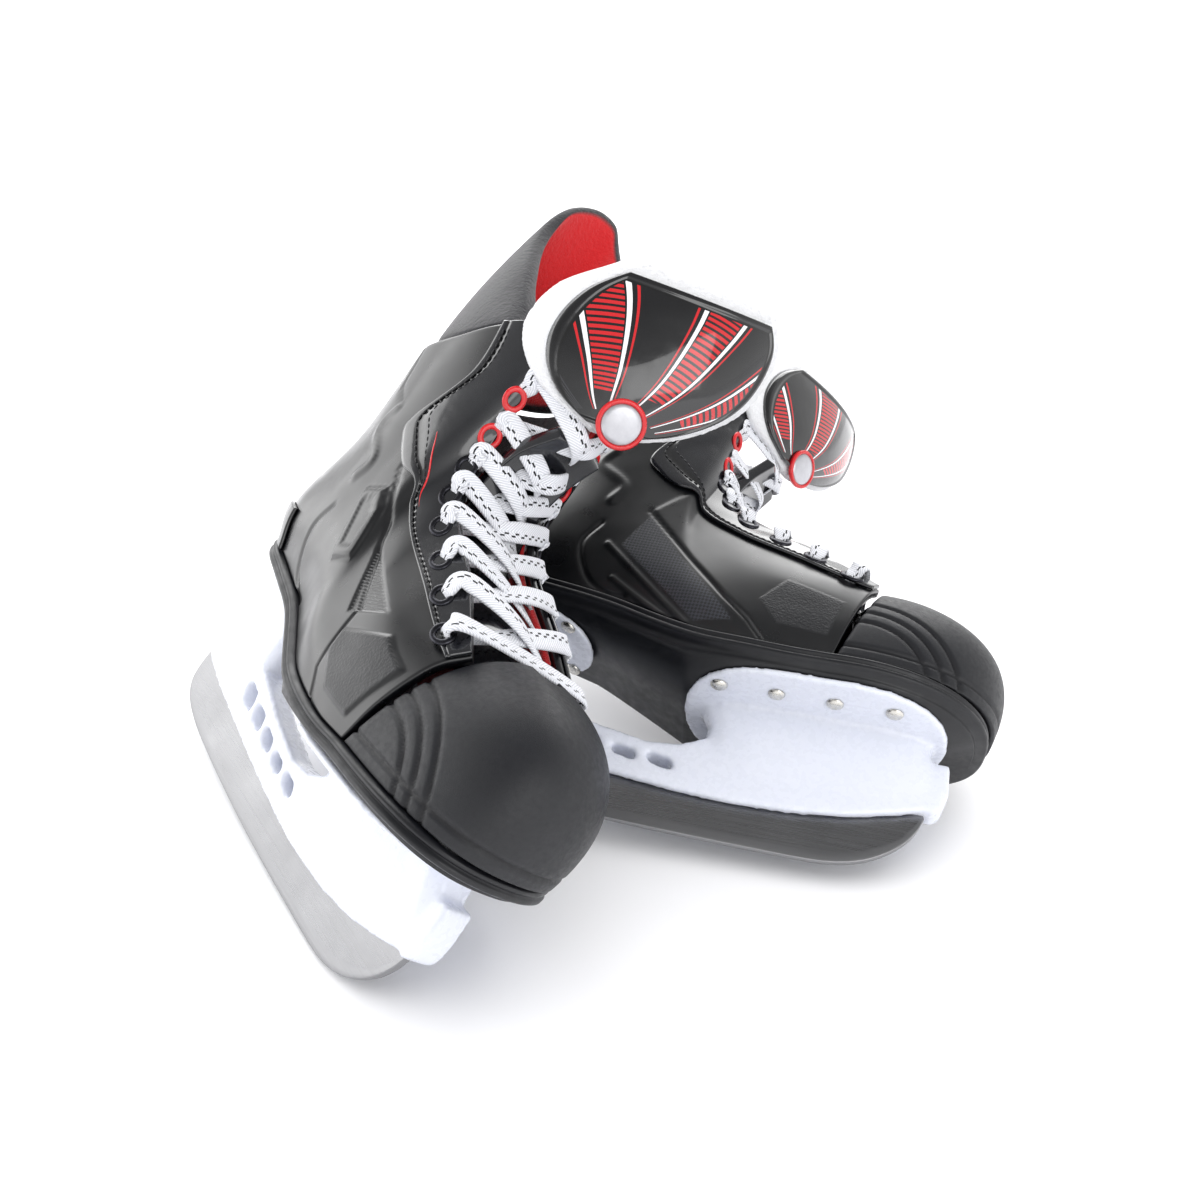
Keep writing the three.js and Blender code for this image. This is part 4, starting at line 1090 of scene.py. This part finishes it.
def tongue_point(rows, w, v, depth, margin, bow, lean, droop=0):
    rows = np.array(rows, float)
    wrap, twist, roll_over, arch = bow
    w, v, depth = np.broadcast_arrays(w, v, depth)
    last = len(rows) - 1
    centre = catmull(rows[:, :3], v)
    half = catmull(np.column_stack([rows[:, 3], rows[:, 3], rows[:, 3]]), v)[:, 0]
    ahead = catmull(rows[:, :3], np.minimum(v + 0.05, last)) - catmull(rows[:, :3], np.maximum(v - 0.05, 0))
    back = np.stack([-ahead[:, 2], 0 * v, ahead[:, 0]], -1)
    back *= (depth / np.linalg.norm(back, axis=1))[:, None]
    y = w * (half - margin) - (2.5 * lean if margin > 0 else 0)
    out = y / 43
    down = lean * out
    p = np.stack([centre[:, 0] - wrap * out * out + twist * down + back[:, 0], centre[:, 1] * lean + y,
                  centre[:, 2] + roll_over * down + back[:, 2] - arch * out * out], -1)
    angle = math.radians(droop)
    x, z = p[:, 0] - TONGUE_HINGE[0], p[:, 2] - TONGUE_HINGE[1]
    p[:, 0] = TONGUE_HINGE[0] + x * math.cos(angle) + z * math.sin(angle)
    p[:, 2] = TONGUE_HINGE[1] - x * math.sin(angle) + z * math.cos(angle)
    return p


def tongue(side):
    lean = 1 if side == "right" else -1
    bow, droop = FREE_BOW[side], TONGUE_DROOP[side]
    across = edged(-1, 1, lines(100), 0.008)
    up = edged(0, 4, lines(100), 0.006)
    w, v = crossed(across, up)
    edge = np.minimum.reduce([1 - np.abs(w), v * 0.5, (4 - v) * 0.55])
    round_off = TONGUE_WALL * 0.46 * (1 - np.sqrt(np.clip(1 - (1 - np.clip(edge / 0.14, 0, 1)) ** 2, 0, 1)))
    fuzz = np.random.default_rng(5).normal(0, 0.22, len(w)) * (1 - smooth(edge, 0.1, 0.25))
    outer = tongue_point(TONGUE_TOP, w, v, CLEARANCE + round_off - fuzz, 0, bow, lean, droop)
    inner = tongue_point(TONGUE_TOP, w, v, CLEARANCE + TONGUE_WALL - round_off + fuzz, 0, bow, lean, droop)
    points, faces = wall(outer, inner, len(across), len(up))
    made = piece(f"{side}_tongue_felt", side, points, faces, M["felt_white"], f"{side}_tongue",
                 [f"{side}_tongue_pad"], {"dark": np.zeros(len(points))})

    across = edged(-1, 1, lines(110), 0.008)
    up = edged(SKIN_START, SKIN_END, lines(120), 0.006)
    w, v = crossed(across, up)
    drop = edge_drop(len(across), len(up), 0.9)
    edge = np.minimum.reduce([1 - np.abs(w), (v - SKIN_START) * 0.45, (SKIN_END - v) * 0.5])
    binding = 0.7 * (1 - smooth(edge, 0.05, 0.075))
    outer = tongue_point(TONGUE_TOP, w, v, -2.2 + drop - binding, FACE_MARGIN, bow, lean, droop)
    inner = tongue_point(TONGUE_TOP, w, v, 0.2 + 0 * w, FACE_MARGIN, bow, lean, droop)
    points, faces = wall(outer, inner, len(across), len(up))
    halves = np.repeat(np.array([r[3] for r in TONGUE_TOP], float)[:, None], 3, 1)
    half = catmull(halves, v)[:, 0] - FACE_MARGIN
    sheet_xy = np.stack([w * half, (v - SKIN_START) * 22, 0 * v], -1)
    zero = 0 * w
    marks = {"border": np.concatenate([edge, zero]),
             "seam": np.concatenate([1 - smooth(np.abs(edge - 0.085), 0.004, 0.012), zero])}
    marks["sheet"] = np.vstack([sheet_xy, sheet_xy])
    piece(f"{side}_tongue_skin", side, points, faces, M["tongue"], f"{side}_tongue",
          [f"{side}_tongue_face"], marks)

    centre, up_way, side_way = (
        tongue_point(TONGUE_TOP, np.array([0.0 + a]), np.array([0.75 + b]), np.array([-3.2]), 6,
                     bow, lean, droop)[0]
        for a, b in ((0, 0), (0, 0.1), (0.1, 0)))
    along = (up_way - centre) / np.linalg.norm(up_way - centre)
    normal = np.cross(side_way - centre, along)
    normal /= np.linalg.norm(normal)
    if normal[0] < 0:
        normal = -normal
    disc = lathe([(0.02, -1.5), (8.4, -1.5), (8.6, 0.2), (8.2, 0.7), (6.2, 1.1), (3.0, 1.3), (0.02, 1.4)],
                 BADGE_SIDES)
    rim = lathe([(8.5, -1.4), (10.4, -1.4), (10.6, 0.3), (10.0, 0.9), (9.0, 0.9), (8.55, 0.4)], BADGE_SIDES)
    ring_points, ring_faces = rim
    ring_faces = [f for f in ring_faces if len(f) == 4]
    last = 5 * BADGE_SIDES                # the rim's sixth ring closes on its first
    ring_faces += [(last + i, last + (i + 1) % BADGE_SIDES, (i + 1) % BADGE_SIDES, i)
                   for i in range(BADGE_SIDES)]
    ring_faces = outward(ring_points, ring_faces)
    scattered(f"{side}_badge", side, [centre], [normal], [along], disc, M["silver"],
              f"{side}_tongue")
    scattered(f"{side}_badge_ring", side, [centre], [normal], [along], (ring_points, ring_faces), M["enamel"],
              f"{side}_tongue")

    across = edged(-1, 1, 40, 0.02)
    up = edged(-0.7, 7, 120, 0.006)
    w, v = crossed(across, up)
    drop = edge_drop(len(across), len(up), 1.2)
    outer = tongue_point(TONGUE_BASE, w, v, drop - 1.2, -4, (8, 0, 0, 24), 1)
    inner = tongue_point(TONGUE_BASE, w, v, 5.4 - drop, -4, (8, 0, 0, 24), 1)
    points, faces = wall(outer, inner, len(across), len(up))
    piece(f"{side}_tongue_root", side, points, faces, M["patent"], f"{side}_skate",
          [f"{side}_tongue_base"], {"seam": np.zeros(len(points))})


def lace(side):
    lift = FACING_LIFT + FACING_WALL + 1.2

    def run(first):
        stops = []
        for e in range(8):
            flank = (-1 if e % 2 else 1) * first

            def spot(shift, tt, height):
                uu = flank * (EYELET_U[e] + shift)
                return on_upper(uu, tt, height)[0], upper_normal(uu, min(tt, 0.98))[0]

            brow = spot(0.02, 1.0, lift + 0.6)
            dive = spot(0, EYELET_T[e] + 0.012, lift + 0.3)
            hole = spot(0, EYELET_T[e] - 0.02, -1.5)
            under = spot(-0.04, 0.97, -5.5)
            if e:
                last = stops[-1][0]
                middle = (last + brow[0]) / 2
                over = LACE_OVER[e] + (2.0 if first > 0 else 0)
                climb = spot(-0.3, 1, 0)[0] - spot(0.3, 1, 0)[0]
                climb[1] = 0
                climb /= np.linalg.norm(climb)
                normal = np.array([climb[2], 0, -climb[0]])
                stops.append((middle + normal * (over - 1.5), normal, 1.0))
                stops.append((*brow, 1.0))
            stops.append((*dive, 0.82))
            stops.append((*hole, 0.45))
            if e < 7:
                stops.append((*under, 0.6))
        return stops

    a, b = run(1), run(-1)
    bar = [(on_upper(f * EYELET_U[0] * 1.005, 1.0, lift + 0.6)[0],
            upper_normal(f * EYELET_U[0], 0.98)[0], 1.0) for f in (1, -1)]
    a_rest, b_rest = a[2:], b[2:]
    stops = a_rest[::-1] + [a[1], a[0], bar[0], bar[1], b[0], b[1]] + b_rest
    where = np.array([s[0] for s in stops])
    knots = np.arange(len(stops))
    fine = np.linspace(0, len(stops) - 1, len(stops) * 14)
    line = catmull(where, fine)
    normal = catmull(np.array([s[1] for s in stops]), fine)
    wide = np.interp(fine, knots, [s[2] for s in stops])
    for _ in range(4):
        line[1:-1] = 0.5 * line[1:-1] + 0.25 * (line[2:] + line[:-2])
    travel = np.concatenate([[0], np.cumsum(np.linalg.norm(np.diff(line, axis=0), axis=1))])
    even = np.linspace(0, travel[-1], lines(2600))
    line = np.stack([np.interp(even, travel, line[:, k]) for k in range(3)], -1)
    normal = np.stack([np.interp(even, travel, normal[:, k]) for k in range(3)], -1)
    wide = np.interp(even, travel, wide)
    forward = np.gradient(line, axis=0)
    ups = np.cross(normal, forward)
    cells = [(-1, -0.5), (-0.9, 0.35), (-0.5, 0.5), (0, 0.42), (0.5, 0.5), (0.9, 0.35), (1, -0.5),
             (0.5, -0.62), (0, -0.55), (-0.5, -0.62)]
    shape = np.array(cells)
    sections = np.stack([shape[None, :, 0] * LACE_HALF_WIDTH * wide[:, None],
                         shape[None, :, 1] * (LACE_HALF_DEPTH / wide ** 0.5)[:, None]], -1)
    points, faces = tube(line, sections, ups)
    k = len(cells)
    run_length = np.repeat(even, k)
    across = np.tile(shape[:, 0] * LACE_HALF_WIDTH, len(even))
    ribbon = np.stack([run_length, across, 0 * run_length], -1)
    piece(f"{side}_lace_braid", side, points, faces, M["lace"], f"{side}_skate",
          [f"{side}_lace"], {"ribbon": ribbon})


for side in SIDES:
    for flank in (-1, 1):
        shell(side, flank)
        facing(side, flank)
    eyelets(side)
    counter(side)
    liner(side)
    toe_cap(side)
    outsole(side)
    moulded(f"{side}_holder_moulding", f"{side}_holder", side, M["nylon"], f"{side}_skate",
            lines(1.15), 16)
    runner(side)
    rivets(side)
    guard(side)
    tongue(side)
    lace(side)
    moulded(f"{side}_footbed", f"{side}_insole", side, M["felt_grey"], f"{side}_skate", 2.0, 3)


# ------------------------------------------------------------------ studio
def studio():
    material = bpy.data.materials.new("studio_floor")
    material.use_nodes = True
    shader = material.node_tree.nodes["Principled BSDF"]
    shader.inputs["Base Color"].default_value = linear("F6F6F8")
    shader.inputs["Roughness"].default_value = 0.9
    mesh = bpy.data.meshes.new("floor")
    mesh.from_pydata([(-40, -10, 0), (40, -10, 0), (40, 90, 0), (-40, 90, 0)], [], [(0, 1, 2, 3)])
    mesh.materials.append(material)
    floor = bpy.data.objects.new("floor", mesh)
    bpy.context.scene.collection.objects.link(floor)
    world = bpy.data.worlds.new("studio")
    bpy.context.scene.world = world
    world.use_nodes = True
    tree = world.node_tree
    tree.nodes.clear()
    way = add(tree, "ShaderNodeTexCoord")
    parts = add(tree, "ShaderNodeSeparateXYZ", Vector=(way, "Generated"))
    height = ramp(tree, (parts, "Z"), 0.05, 0.85, 1.2, 0.35)
    light = add(tree, "ShaderNodeBackground", Color=(1, 1, 1, 1), Strength=height)
    add(tree, "ShaderNodeOutputWorld", Surface=(light, 0))
    overhead = bpy.data.lights.new("overhead_fill", "SUN")
    overhead.energy = 2.0
    overhead.angle = math.radians(80)
    fill = bpy.data.objects.new("overhead_fill", overhead)
    fill.visible_glossy = False
    bpy.context.scene.collection.objects.link(fill)
    for name, at, aim, size, watts in (
            ("left_softbox", (-1.9, 0.5, 0.8), (0, 0, 0.1), (2.4, 1.3), 19),
            ("front_softbox", (0.9, -1.9, 1.0), (0, 0, 0.05), (1.6, 1.2), 14),
            ("back_softbox", (0.2, 2.4, 1.7), (0, 0, 0.12), (4.0, 2.0), 80)):
        data = bpy.data.lights.new(name, "AREA")
        data.shape = "RECTANGLE"
        data.size, data.size_y = size
        data.energy = watts
        lamp = bpy.data.objects.new(name, data)
        lamp.location = at
        lamp.rotation_euler = (Vector(aim) - Vector(at)).to_track_quat("-Z", "Y").to_euler()
        bpy.context.scene.collection.objects.link(lamp)
    scene = bpy.context.scene
    scene.view_settings.view_transform = "Standard"


studio()
